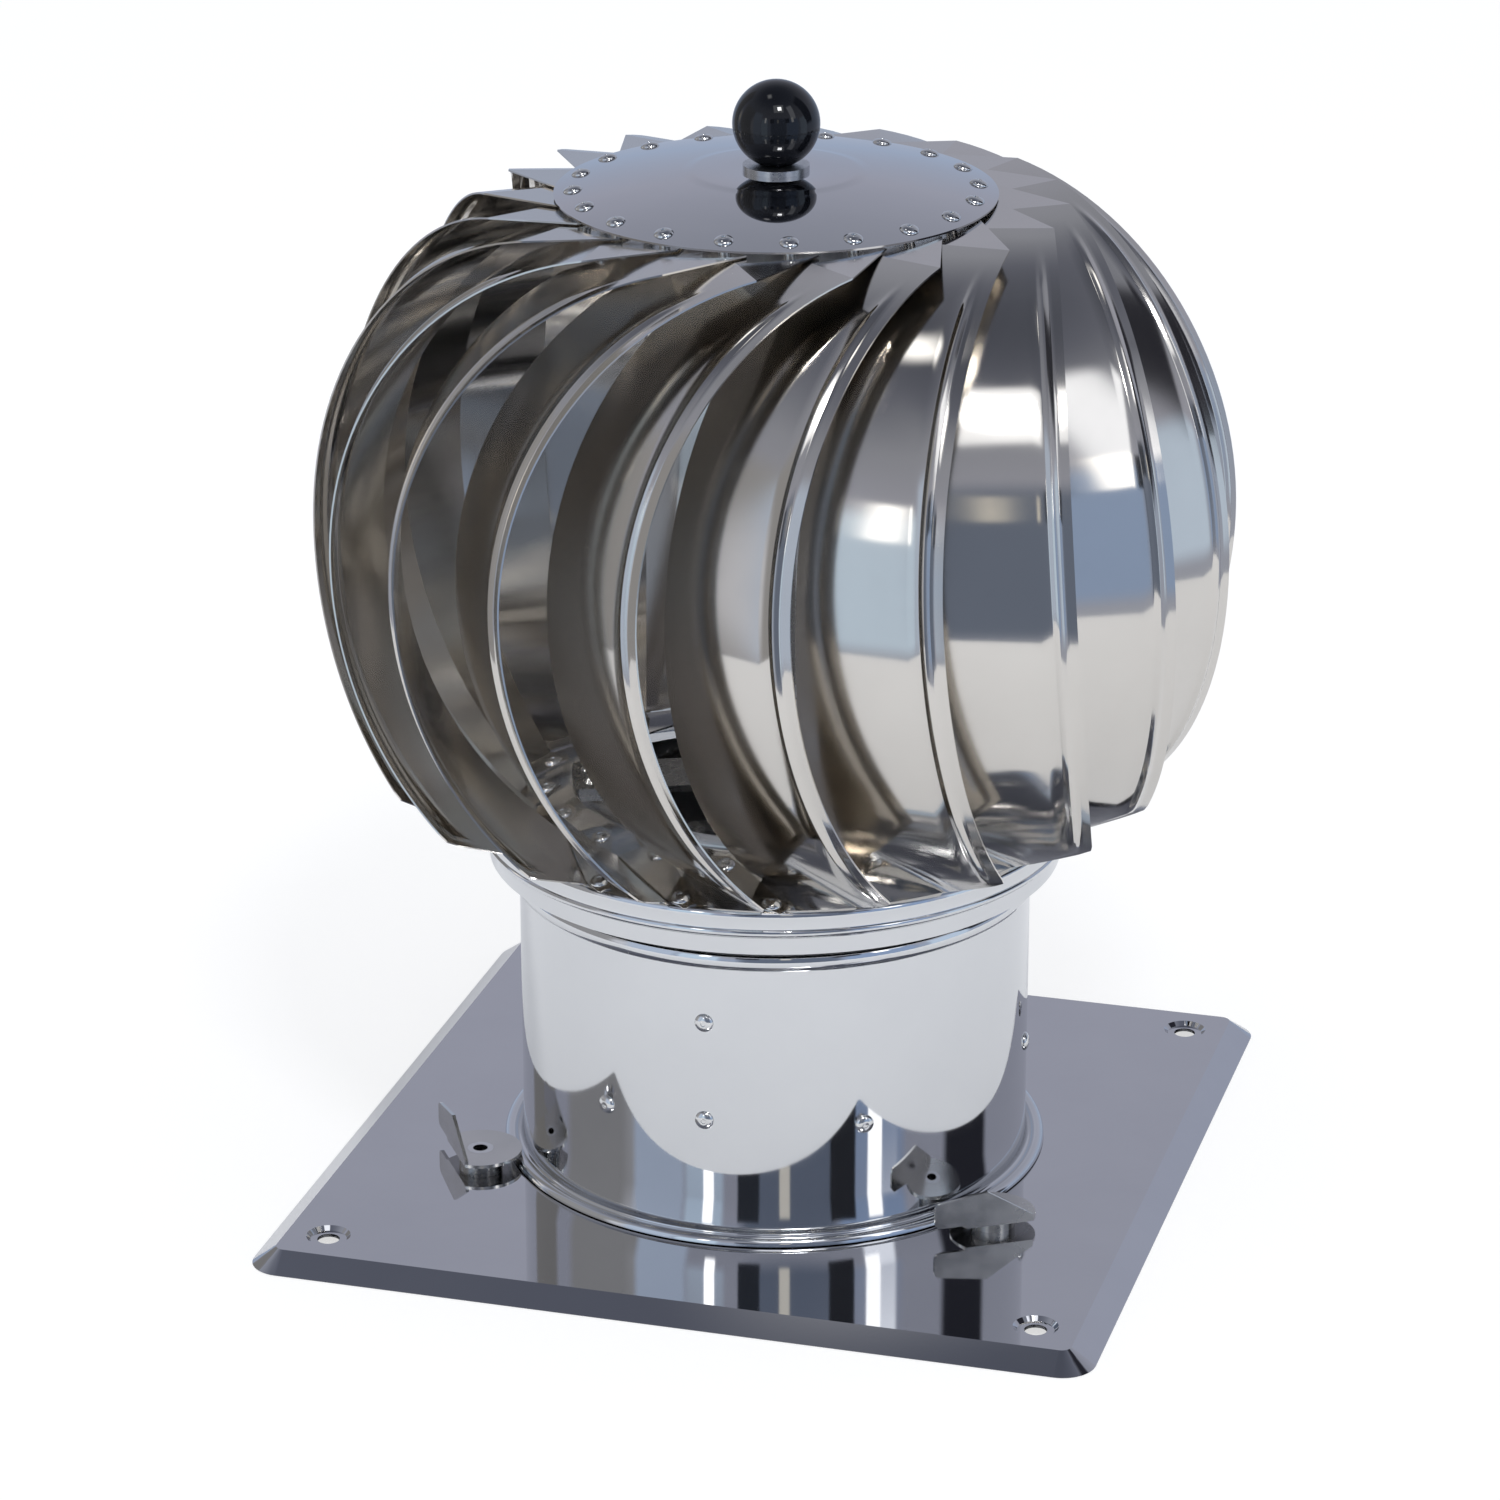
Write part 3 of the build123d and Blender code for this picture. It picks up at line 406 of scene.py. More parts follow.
# %% [markdown]
# The top disc is one low dome with a faintly raised middle for the knob. Its rivets stand square to the
# dome, so their places are worked out from the dome's own centre.

# %% The top disc
_, disc_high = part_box("top_disc")
DISC_RADIUS = 63.2
DOME_RISE = 7.2
BOSS_RADIUS = 26.0
BOSS_STEP = 3.0
BOSS_RISE = 0.5
BOSS_EASE = 0.4
BOSS_FLAT = 12.0
STUD_HOLE = 3.2
DOME_STEPS = 24
dome_radius = (DISC_RADIUS**2 + DOME_RISE**2) / (2 * DOME_RISE)
boss_middle = disc_high.z / MM - SHEET / 2
dome_centre = boss_middle - BOSS_RISE - sqrt(dome_radius**2 - BOSS_RADIUS**2)
dome_radii = [DISC_RADIUS + (BOSS_RADIUS - DISC_RADIUS) * step / DOME_STEPS for step in range(DOME_STEPS + 1)]

disc_outline = [(radius, dome_centre + sqrt(dome_radius**2 - radius**2)) for radius in dome_radii]
disc_outline += [(BOSS_RADIUS - BOSS_STEP / 2, boss_middle - BOSS_RISE * BOSS_EASE)]
disc_outline += [(radius, boss_middle) for radius in (BOSS_RADIUS - BOSS_STEP, BOSS_FLAT, STUD_HOLE)]
disc = shell_from(disc_outline, SHEET)
close_piece(disc, "polished_top_disc", "rotor", plate_steel, ["top_disc"])
print("disc faces:", len(disc.data.polygons))

# %% [markdown]
# A vane is a strip rolled to two radii, so straight lines run across it and all its bending is along its
# length. A grid suits that: its rows are those straight lines. Each row is moved to its height on the
# roll and scaled to the strip's width there, and the columns near the free edge keep their distance
# from it, because the stiffening rib is pressed along them.

# %% The vane's sizes
VANE_COUNT = 20
VANE_FIRST = -19.6
VANE_GAP = 0.8
VANE_SHEET = 0.5
# The free edge stands 0.2 mm inside the CAD model's, which leaves room for the bow and the rib.
ROTOR_RADIUS = 133.8
EDGE_EQUATOR = 80.3
EDGE_CREASE = 77.0
EDGE_TIP = 88.9
TIP_ROUND = 5.0
TIP_SOFTNESS = 0.35
INNER_SIDE = 38.5
INNER_CREASE = 53.5
TAPER_DROP = 10.0
CREASE_DISTANCE = 32.0
FOOT_DISTANCE = 54.7
TAB_SLOPE = 0.05
TAB_EDGE = 9.1
TAB_INNER = 50.0
EQUATOR_ABOVE_RIM = 93.4
CREASE_ABOVE_EQUATOR = 90.1
TIP_ABOVE_RIM = 11.8
equator = rim_height + EQUATOR_ABOVE_RIM
crease = equator + CREASE_ABOVE_EQUATOR
tip_height = rim_height + TIP_ABOVE_RIM
equator_distance = sqrt(ROTOR_RADIUS**2 - EDGE_EQUATOR**2)
foot_outer = RIM_RADIUS - RIM_ROLL
foot_height = cone_height(foot_outer)


def roll_radius(rise, end_distance):
    """Radius of the roll that is upright at the equator and reaches a distance from the axis after a rise."""
    reach = equator_distance - end_distance
    return (reach**2 + rise**2) / (2 * reach)


upper_roll = roll_radius(crease - equator, CREASE_DISTANCE)
lower_roll = roll_radius(equator - foot_height, FOOT_DISTANCE)
print("equator", round(equator, 1), "crease", round(crease, 1), "upper roll", round(upper_roll, 1))

# %% [markdown]
# The two rolls give the strip's distance from the axis at every height. Its free edge is one circle through
# three measured points, cut off at the bottom towards the foot, and the tab goes on from the crease.


# %% The vane's section and edges
def section_distance(height):
    """Distance of the strip from the axis, square to its rows, at a height."""
    roll = upper_roll if height > equator else lower_roll
    return equator_distance - roll + sqrt(roll**2 - (height - equator) ** 2)


def section_normal(height):
    """Outward direction square to the strip at a height."""
    roll = upper_roll if height > equator else lower_roll
    rise = (height - equator) / roll
    return Vector((0, -sqrt(1 - rise**2), rise))


def circle_through(first, second, third):
    """Centre and radius of the circle through three points (x, z)."""
    (ax, az), (bx, bz), (cx, cz) = first, second, third
    twice_area = 2 * (ax * (bz - cz) + bx * (cz - az) + cx * (az - bz))
    squares = [x * x + z * z for x, z in (first, second, third)]
    x = (squares[0] * (bz - cz) + squares[1] * (cz - az) + squares[2] * (az - bz)) / twice_area
    z = (squares[0] * (cx - bx) + squares[1] * (ax - cx) + squares[2] * (bx - ax)) / twice_area
    return x, z, hypot(ax - x, az - z)


edge_x, edge_z, edge_radius = circle_through(
    (EDGE_CREASE, crease), (EDGE_EQUATOR, equator), (EDGE_TIP, tip_height)
)
foot_end = sqrt(foot_outer**2 - FOOT_DISTANCE**2)


def free_edge(height):
    """How far the strip reaches at its free edge, at a height."""
    side = 1 if EDGE_EQUATOR > edge_x else -1
    curved = edge_x + side * sqrt(edge_radius**2 - (height - edge_z) ** 2)
    cut = foot_end + (EDGE_TIP - foot_end) * (height - foot_height) / (tip_height - foot_height)
    corner = TIP_ROUND * TIP_SOFTNESS
    blend = max(0, min(1, (curved - cut) / corner / 2 + 0.5))
    return min(curved, cut) - corner * blend * (1 - blend)


def inner_edge(height):
    """Where the strip's inner side is at a height: straight, then slanted up to the crease."""
    taper = max(0, (height - crease + TAPER_DROP) / TAPER_DROP)
    return INNER_SIDE + (INNER_CREASE - INNER_SIDE) * taper


def between(start, end, share):
    """The value at a share of the way from start to end."""
    return start + (end - start) * share


tab_corner = asin(TAB_EDGE / DISC_RADIUS)
tab_side_x = DISC_RADIUS * cos(tab_corner)
tab_end_turn = tab_corner + radians(360 / VANE_COUNT - VANE_GAP)
tab_end_x, tab_end_distance = TAB_INNER * cos(tab_end_turn), TAB_INNER * sin(tab_end_turn)


def tab_row(distance):
    """A row of the tab at a distance from the axis: its two ends, its distance and its height."""
    share = (CREASE_DISTANCE - distance) / (CREASE_DISTANCE - TAB_EDGE)
    if distance > tab_end_distance:
        slant = (CREASE_DISTANCE - distance) / (CREASE_DISTANCE - tab_end_distance)
        left = between(INNER_CREASE, tab_end_x, slant)
    else:
        left = sqrt(TAB_INNER**2 - distance**2)
    height = crease + (CREASE_DISTANCE - distance) * TAB_SLOPE
    return left, between(EDGE_CREASE, tab_side_x, share), distance, height


LOWER_ROWS = 34
UPPER_ROWS = 30
TAB_ROWS = 8
low_turn = asin((equator - foot_height) / lower_roll)
high_turn = asin((crease - equator) / upper_roll)
strip_heights = [equator - lower_roll * sin(low_turn * (1 - row / LOWER_ROWS)) for row in range(LOWER_ROWS)]
strip_heights += [equator + upper_roll * sin(high_turn * row / UPPER_ROWS) for row in range(UPPER_ROWS + 1)]
vane_rows = [(inner_edge(z), free_edge(z), section_distance(z), z) for z in strip_heights]
vane_rows += [tab_row(between(CREASE_DISTANCE, TAB_EDGE, row / TAB_ROWS)) for row in range(1, TAB_ROWS + 1)]
print("rows in a vane:", len(vane_rows))

# %% [markdown]
# The rib is a low half-round swage about 3 mm wide, 5 mm in from the free edge. It is what the eye sees
# as a bright double line. Seven columns share it: the outer two stay flat, the rest rise along a cosine to
# a smooth bump, and it fades out before the tip and the crease.

# %% Model one vane
RIB_MIDDLE = 5.0
RIB_HALF = 1.7
RIB_HEIGHT = 0.9
RIB_SHARES = (-1, -0.67, -0.33, 0, 0.33, 0.67, 1)
RIB_RISES = (0, 0.33, 0.67)
RIB_FADE = 9.0
RIB_BELOW_CREASE = 4.0
RIB_PAST_TIP = 1.0
rib_insets = [RIB_MIDDLE + RIB_HALF * share for share in RIB_SHARES]
EDGE_INSETS = [0, 0.8, 2.2]
column_insets = EDGE_INSETS + rib_insets
FREE_COLUMNS = 10


def sheet_of_rows(rows, insets, free_columns):
    """A grid whose rows lie along X: the columns at the insets keep their distance from the right end."""
    columns = free_columns + len(insets)
    bpy.ops.object.select_all(action="DESELECT")
    bpy.ops.mesh.primitive_grid_add(x_subdivisions=columns - 1, y_subdivisions=len(rows) - 1, size=1)
    piece = bpy.context.object
    bpy.ops.object.mode_set(mode="EDIT")
    bpy.ops.mesh.select_mode(type="VERT")
    reach = insets[-1] if insets else 0
    for column in range(columns):
        inset = insets[columns - 1 - column] if column >= free_columns else reach + free_columns - column
        pick(piece, lambda point: point.index % columns == column)
        bpy.ops.transform.translate(value=(-inset * MM + 0.5 - column / (columns - 1), 0, 0))
    for row, (left, right, distance, height) in enumerate(rows):
        scale = (right - left - reach) / free_columns
        pick(piece, lambda point: point.index // columns == row and point.index % columns < free_columns)
        bpy.ops.transform.resize(value=(scale, 1, 1), center_override=(-reach * MM, 0, 0))
        pick(piece, lambda point: point.index // columns == row)
        flat_place = row / (len(rows) - 1) - 0.5
        bpy.ops.transform.translate(value=(right * MM, -distance * MM - flat_place, height * MM))
    return piece, columns


def press_rib(piece, columns, rows):
    """Raise the rib's columns along the strip's outward direction, row by row."""
    for row, (_, _, _, height) in enumerate(rows):
        above = (height - tip_height + RIB_PAST_TIP) / RIB_FADE
        below = (crease - RIB_BELOW_CREASE - height) / RIB_FADE
        fade = min(1, max(0, below), max(0, above))
        if fade == 0:
            continue
        lift = section_normal(height) * RIB_HEIGHT * sin(pi / 2 * fade) * MM
        for share in RIB_RISES:
            insets = [RIB_MIDDLE + RIB_HALF * side * share for side in (-1, 1)]
            raised = [columns - 1 - column_insets.index(inset) for inset in insets]
            pick(piece, lambda point: point.index // columns == row and point.index % columns in raised)
            bpy.ops.transform.translate(value=lift * (0.5 + 0.5 * cos(pi * share)))


vane, vane_columns = sheet_of_rows(vane_rows, column_insets, FREE_COLUMNS)
press_rib(vane, vane_columns, vane_rows)
print("points in the vane's sheet:", len(vane.data.vertices))

# %% [markdown]
# The strip's inner corner at the bottom would cut through the ring, so it is trimmed along the line where
# the strip meets the cone. The fold at the crease is marked sharp, because the tab and the strip meet there
# at an angle that smooth shading would wash out.

# %% The foot's sizes, the trim and the crease
FOOT_MARGIN = 4.5
FOOT_CORNER = 3.5
FOOT_DEPTH = 13.0
FOOT_RIVET_EDGE = 3.2
FOOT_RIVET_SIDE = 5.9
FOOT_RIVET_RIM = 2.2
foot_layer = VANE_SHEET / cos(CONE_SLOPE)

inner_meet = FOOT_DISTANCE
for _ in range(10):
    inner_meet = section_distance(cone_height(hypot(INNER_SIDE, inner_meet)))
foot_inner = inner_meet - FOOT_DEPTH
foot_rivet_distance = foot_inner + FOOT_RIVET_EDGE
foot_rivet_radii = (hypot(INNER_SIDE + FOOT_RIVET_SIDE, foot_rivet_distance), foot_outer - FOOT_RIVET_RIM)
inner_meet_height = cone_height(hypot(INNER_SIDE, inner_meet))
trim_along = Vector((foot_end - INNER_SIDE, 0, foot_height - inner_meet_height))
bpy.ops.mesh.select_all(action="SELECT")
bpy.ops.mesh.bisect(
    plane_co=(INNER_SIDE * MM, 0, inner_meet_height * MM),
    plane_no=trim_along.cross(Vector((0, -1, 0))).normalized() * -1,
    clear_inner=True,
)
crease_line = section_distance(crease) * MM
pick(vane, lambda point: abs(point.co.z - crease * MM) < 1e-6 and abs(point.co.y + crease_line) < 1e-6)
bpy.ops.mesh.mark_sharp()
bpy.ops.object.mode_set(mode="OBJECT")

# %% [markdown]
# Rolling a strip between soft rolls also bows it a little across its width, which is why each vane shades
# softly from one side to the other. A Displace modifier pushes the sheet out along its own normals, with
# weights that are full in the middle of the strip and nothing at its sides, its crease and its foot.

# %% Bow the vane across its width
BOW = 0.8
BOW_FADE = 18.0
bow_group = vane.vertex_groups.new(name="bow")
for point in vane.data.vertices:
    height = point.co.z / MM
    if height > crease - 0.1:
        continue
    left, right = inner_edge(height), free_edge(height)
    share = (point.co.x / MM - left) / (right - left)
    fade = min(1, (crease - height) / BOW_FADE, max(0, height - foot_height) / BOW_FADE)
    bow_group.add([point.index], max(0, 1 - (2 * share - 1) ** 2) * fade, "REPLACE")
use_modifier(vane, "DISPLACE", strength=BOW * MM, mid_level=0, direction="NORMAL", vertex_group="bow")
print("bow in mm:", BOW)

# %% [markdown]
# The foot is a second small sheet, pressed down onto the ring's cone by a Shrinkwrap modifier, which is how
# a die forms it to the ring. It joins the strip, and both get their thickness together.

# %% Press the foot onto the ring
foot_side = sqrt(foot_rivet_radii[1] ** 2 - foot_rivet_distance**2) + FOOT_MARGIN


def foot_row(distance):
    """A row of the foot at a distance from the axis, above the ring."""
    meet_share = (distance - FOOT_DISTANCE) / (inner_meet - FOOT_DISTANCE)
    left = max(INNER_SIDE, INNER_SIDE + foot_inner + FOOT_CORNER - distance)
    slant = (distance - foot_rivet_distance) / (FOOT_DISTANCE - foot_rivet_distance)
    if distance > FOOT_DISTANCE:
        right = between(foot_end, INNER_SIDE, meet_share)
    else:
        right = min(foot_side, between(foot_side, foot_end, slant))
    return left, right, distance, cone_height(LIP_OUTER) + 1


FOOT_STEPS = 14
FOOT_GAP = 0.3
foot_steps = [row / FOOT_STEPS for row in range(FOOT_STEPS + 1)]
foot_rows = [foot_row(between(inner_meet - FOOT_GAP, foot_inner, step)) for step in foot_steps]
foot, _ = sheet_of_rows(foot_rows, [0], FOOT_STEPS)
bpy.ops.object.mode_set(mode="OBJECT")
use_modifier(
    foot, "SHRINKWRAP", target=ring, wrap_method="PROJECT", use_project_z=True,
    use_negative_direction=True, use_positive_direction=False, offset=foot_layer / 2 * MM,
)
foot.select_set(True)
vane.select_set(True)
bpy.context.view_layer.objects.active = vane
bpy.ops.object.join()
use_modifier(vane, "SOLIDIFY", thickness=VANE_SHEET * MM, offset=0, use_even_offset=True)
print("faces in a finished vane:", len(vane.data.polygons))

# %% [markdown]
# Twenty copies go round the axis, each with its own mesh. A copy is turned as an object first, and its
# turn is then applied, so that every vane's object stays at the origin.

# %% Set twenty vanes round the axis
vane_turns = [VANE_FIRST + 360 / VANE_COUNT * index for index in range(VANE_COUNT)]
for index, turn in enumerate(vane_turns):
    bpy.ops.object.select_all(action="DESELECT")
    vane.select_set(True)
    bpy.context.view_layer.objects.active = vane
    bpy.ops.object.duplicate(linked=False)
    turned = bpy.context.object
    turned.rotation_euler.z = radians(turn)
    number = f"{index + 1:02d}"
    close_piece(turned, f"polished_vane_{number}", "rotor", vane_steel, [f"vane_{number}"])
bpy.data.objects.remove(vane)
print("vanes:", len(vane_turns))

# %% [markdown]
# Blind rivets have a low domed head with the broken end of the mandrel sunk in its middle, and a formed
# tail behind the sheets. One is raised as a small turned piece and copied to every place, and the copies
# of one row are joined into one piece.

# %% Model the rivets
RIVET_HEAD = 2.8
RIVET_HEIGHT = 1.3
RIVET_SHANK = 1.6
RIVET_TAIL = 2.2
RIVET_TAIL_HEIGHT = 0.8
MANDREL = 0.75
RIVET_SLACK = 0.15
TAIL_MIDDLE = 0.4
TAIL_BEVEL = 0.3
DOME_TURNS = (8, 22, 36, 50, 62, 70)


def rivet_outline(grip):
    """Half outline of a rivet that stands on the origin, from its tail to its mandrel."""
    tail = -grip - RIVET_TAIL_HEIGHT
    dome = [(RIVET_HEAD * cos(radians(turn)), RIVET_HEIGHT * sin(radians(turn))) for turn in DOME_TURNS]
    return (
        [(TAIL_MIDDLE, tail), (RIVET_TAIL - TAIL_BEVEL, tail), (RIVET_TAIL, tail + TAIL_BEVEL)]
        + [(RIVET_TAIL, -grip)]
        + [(RIVET_SHANK, -grip), (RIVET_SHANK, 0), (RIVET_HEAD, 0)]
        + dome
        + [(MANDREL, RIVET_HEIGHT * 0.9), (MANDREL - 0.1, RIVET_HEIGHT * 0.7), (0.3, RIVET_HEIGHT * 0.66)]
    )


def rivet_row(name, node, body, grip, places):
    """Rivets at the places, each a point in millimetres and the direction that its head faces."""
    first = raise_ring(rivet_outline(grip), sides=24)
    close_ends(first)
    copies = []
    for point, facing in places:
        bpy.ops.object.select_all(action="DESELECT")
        first.select_set(True)
        bpy.context.view_layer.objects.active = first
        bpy.ops.object.duplicate(linked=False)
        copy = bpy.context.object
        copy.location = Vector(point) * MM
        copy.rotation_euler = Vector(facing).to_track_quat("Z", "Y").to_euler()
        bpy.ops.object.transform_apply(location=True, rotation=True)
        copies.append(copy)
    bpy.data.objects.remove(first)
    bpy.ops.object.select_all(action="DESELECT")
    for copy in copies:
        copy.select_set(True)
    bpy.context.view_layer.objects.active = copies[0]
    bpy.ops.object.join()
    close_piece(copies[0], name, body, rivet_steel, [node], smooth_angle=40)
    print(name, "has", len(places), "rivets")


def round_place(radius, turn, height):
    """Point at a radius, an angle in degrees and a height."""
    return radius * cos(radians(turn)), radius * sin(radians(turn)), height


# %% [markdown]
# Every vane has one rivet through its tab, square to the disc's dome, and two through its foot, square to
# the ring's cone. Their places follow from the tab and the foot, so a changed vane takes them along.

# %% Set the rivets of the disc and the feet
DISC_RIVET_RADIUS = 57.7
TAB_RIVET_SHARE = 0.41
rivet_slope = asin(DISC_RIVET_RADIUS / dome_radius)
rivet_foot = dome_radius + SHEET / 2
disc_rivet_turn = -degrees(tab_corner) - (360 / VANE_COUNT - VANE_GAP) * TAB_RIVET_SHARE
disc_rivet_distance = rivet_foot * sin(rivet_slope) * sin(radians(-disc_rivet_turn))
tab_floor = crease + (CREASE_DISTANCE - disc_rivet_distance) * TAB_SLOPE - VANE_SHEET / 2
tab_drop = dome_centre + rivet_foot * cos(rivet_slope) - tab_floor
disc_grip = (tab_drop + RIVET_TAIL * sin(rivet_slope)) / cos(rivet_slope) + RIVET_SLACK
disc_places = []
for turn in vane_turns:
    facing = Vector(round_place(sin(rivet_slope), turn + disc_rivet_turn, cos(rivet_slope)))
    disc_places.append((Vector((0, 0, dome_centre)) + facing * rivet_foot, facing))
rivet_row("domed_disc_rivets", "disc_rivets", "rotor", disc_grip, disc_places)

foot_grip = VANE_SHEET + SHEET + RIVET_SLACK
foot_rivet_turns = [-degrees(asin(foot_rivet_distance / radius)) for radius in foot_rivet_radii]
foot_rivet_names = ("inner_foot_rivets", "outer_foot_rivets")
for name, radius, offset in zip(foot_rivet_names, foot_rivet_radii, foot_rivet_turns):
    foot_places = []
    for turn in vane_turns:
        way = radians(turn + offset)
        facing = (sin(CONE_SLOPE) * cos(way), sin(CONE_SLOPE) * sin(way), cos(CONE_SLOPE))
        foot_places.append((round_place(radius, turn + offset, cone_height(radius) + foot_layer), facing))
    rivet_row(f"domed_{name}", name, "rotor", foot_grip, foot_places)

# %% [markdown]
# Six rivets round the collar at one height hold the bracket's band inside it, and two close the seam on
# the front, where the pipe's sheet overlaps itself.

# %% Set the rivets of the collar
BAND_SHEET = 1.2
BRACKET_HEIGHT = 40.0
BRACKET_FIRST = -54.5
BRACKET_COUNT = 6
SEAM_TURN = -90.0
SEAM_HEIGHTS = (42.0, 72.7)
bracket_turns = [BRACKET_FIRST + 360 / BRACKET_COUNT * index for index in range(BRACKET_COUNT)]


def wall_place(turn, height):
    """Where a rivet stands on the collar's wall, and where its head faces."""
    return round_place(PIPE_RADIUS, turn, height), round_place(1, turn, 0)


bracket_places = [wall_place(turn, BRACKET_HEIGHT) for turn in bracket_turns]
bracket_grip = SHEET + BAND_SHEET + RIVET_SLACK
rivet_row("domed_bracket_rivets", "bracket_rivets", "base", bracket_grip, bracket_places)
seam_places = [wall_place(SEAM_TURN, height) for height in SEAM_HEIGHTS]
rivet_row("domed_seam_rivets", "seam_rivets", "base", SHEET + RIVET_SLACK, seam_places)

# %% [markdown]
# The knob is a ball that was turned flat where it meets its washer. A UV sphere gives the ball, a bisect
# cuts the flat, and the cut is filled.

# %% The knob
knob_low, knob_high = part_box("knob")
knob_radius = (knob_high.x - knob_low.x) / 2
bpy.ops.object.select_all(action="DESELECT")
bpy.ops.mesh.primitive_uv_sphere_add(
    segments=96, ring_count=48, radius=knob_radius, location=(0, 0, knob_high.z - knob_radius)
)
knob = bpy.context.object
bpy.ops.object.transform_apply(location=True)
bpy.ops.object.mode_set(mode="EDIT")
bpy.ops.mesh.select_all(action="SELECT")
bpy.ops.mesh.bisect(plane_co=(0, 0, knob_low.z), plane_no=(0, 0, 1), clear_inner=True, use_fill=True)
bpy.ops.object.mode_set(mode="OBJECT")
close_piece(knob, "glossy_knob", "rotor", knob_black, ["knob"])
print("knob radius in mm:", round(knob_radius / MM, 2))

# %% [markdown]
# The other nodes are already the right shape, so they stay and only get their finish.

# %% Finish the CAD nodes that stay
stay_finish = {
    "base_plate": plate_steel, "clip_left": clip_steel, "clip_right": clip_steel,
    "clip_back": clip_steel, "clip_spacers": pressed_steel, "clip_eyelets": rivet_steel,
    "bracket_band": pressed_steel, "bracket_star": pressed_steel, "spider_bar": pressed_steel,
    "bar_rivets": rivet_steel, "hub_rivets": rivet_steel, "lower_hub": turned_alloy,
    "upper_hub": turned_alloy, "axle": pressed_steel, "axle_nut": rivet_steel,
    "axle_washer": rivet_steel, "axle_circlip": pressed_steel, "knob_washer": turned_alloy,
    "knob_stud": rivet_steel, "upper_bearing_inner": rivet_steel,
    "upper_bearing_outer": rivet_steel, "lower_bearing_inner": rivet_steel,
    "lower_bearing_outer": rivet_steel,
}
for node, material in stay_finish.items():
    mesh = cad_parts[node].data
    mesh.materials.clear()
    mesh.materials.append(material)
print("CAD nodes that stay:", len(stay_finish))

# %% [markdown]
# The object stands on a white table in a white room. The camera sees a pale floor that keeps the shadow.
# The polished sheets see the table only as far as its edge, and past it the studio, so beyond the edge
# the floor lets the mirrored rays through.

# %% The floor
FLOOR_SIZE = 14.0
FLOOR_DROP = 0.2
TABLE_EDGE = 0.55
FLOOR_GLOW = 0.6
FLOOR_WHITE = 1.12
WHITE = (1, 1, 1, 1)
bpy.ops.object.select_all(action="DESELECT")
bpy.ops.mesh.primitive_plane_add(size=FLOOR_SIZE, location=(0, 0, -FLOOR_DROP * MM))
floor = bpy.context.object
floor.name = "pale_floor"
floor_card, floor_tree, floor_shader, floor_place = new_material("pale_card")
floor_shader.inputs["Base Color"].default_value = linear("#F6F6F6")
floor_shader.inputs["Roughness"].default_value = 0.9
floor_ray = add_node(floor_tree, "ShaderNodeLightPath")
floor_white = add_node(floor_tree, "ShaderNodeEmission", values={"Color": WHITE, "Strength": FLOOR_WHITE})
floor_share = add_node(
    floor_tree, "ShaderNodeMath", {"operation": "MULTIPLY"}, {1: FLOOR_GLOW},
    {0: floor_ray.outputs["Is Camera Ray"]},
)
floor_seen = add_node(
    floor_tree, "ShaderNodeMixShader",
    links={0: floor_share.outputs[0], 1: floor_shader.outputs[0], 2: floor_white.outputs[0]},
)
floor_reach = add_node(floor_tree, "ShaderNodeVectorMath", {"operation": "LENGTH"}, links={0: floor_place})
past_edge = add_node(
    floor_tree, "ShaderNodeMath", {"operation": "GREATER_THAN"}, {1: TABLE_EDGE},
    {0: floor_reach.outputs["Value"]},
)
let_through = add_node(
    floor_tree, "ShaderNodeMath", {"operation": "MULTIPLY"},
    links={0: past_edge.outputs[0], 1: floor_ray.outputs["Is Glossy Ray"]},
)
clear_floor = add_node(floor_tree, "ShaderNodeBsdfTransparent")
floor_mix = add_node(
    floor_tree, "ShaderNodeMixShader",
    links={0: let_through.outputs[0], 1: floor_seen.outputs[0], 2: clear_floor.outputs[0]},
)
floor_out = [node for node in floor_tree.nodes if node.type == "OUTPUT_MATERIAL"][0]
floor_tree.links.new(floor_mix.outputs[0], floor_out.inputs["Surface"])
floor.data.materials.append(floor_card)
print("floor in m:", FLOOR_SIZE, "seen in the gloss as far as", TABLE_EDGE)

# %% [markdown]
# Polished metal shows the room more than itself, so the studio is built round it as a photographer does:
# a white world for the eye, a grey room that only the gloss sees, and soft cards in it. Each card is
# placed as the object sees it: by its turn about the object, its rise above the horizon and its reach.


# %% Helpers for the studio
def glow(name, colour, strength, soft):
    """A glowing card whose light fades out over a share of its width and height."""
    material = bpy.data.materials.new(name)
    material.use_nodes = True
    tree = material.node_tree
    tree.nodes.clear()
    place = add_node(tree, "ShaderNodeTexCoord").outputs["Object"]
    sides = add_node(tree, "ShaderNodeSeparateXYZ", links={"Vector": place})
    fades = []
    for side in ("X", "Y"):
        inset = add_node(tree, "ShaderNodeMath", {"operation": "ABSOLUTE"}, links={0: sides.outputs[side]})
        fade = add_node(
            tree, "ShaderNodeMapRange", {"interpolation_type": "SMOOTHSTEP"},
            {"From Min": 0.5 - soft, "From Max": 0.5, "To Min": 1, "To Max": 0},
            {"Value": inset.outputs[0]},
        )
        fades.append(fade.outputs["Result"])
    mask = add_node(tree, "ShaderNodeMath", {"operation": "MULTIPLY"}, links={0: fades[0], 1: fades[1]})
    light = add_node(tree, "ShaderNodeEmission", values={"Color": linear(colour), "Strength": strength})
    clear = add_node(tree, "ShaderNodeBsdfTransparent")
    mix = add_node(
        tree, "ShaderNodeMixShader", links={0: mask.outputs[0], 1: clear.outputs[0], 2: light.outputs[0]}
    )
    add_node(tree, "ShaderNodeOutputMaterial", links={"Surface": mix.outputs[0]})
    return material


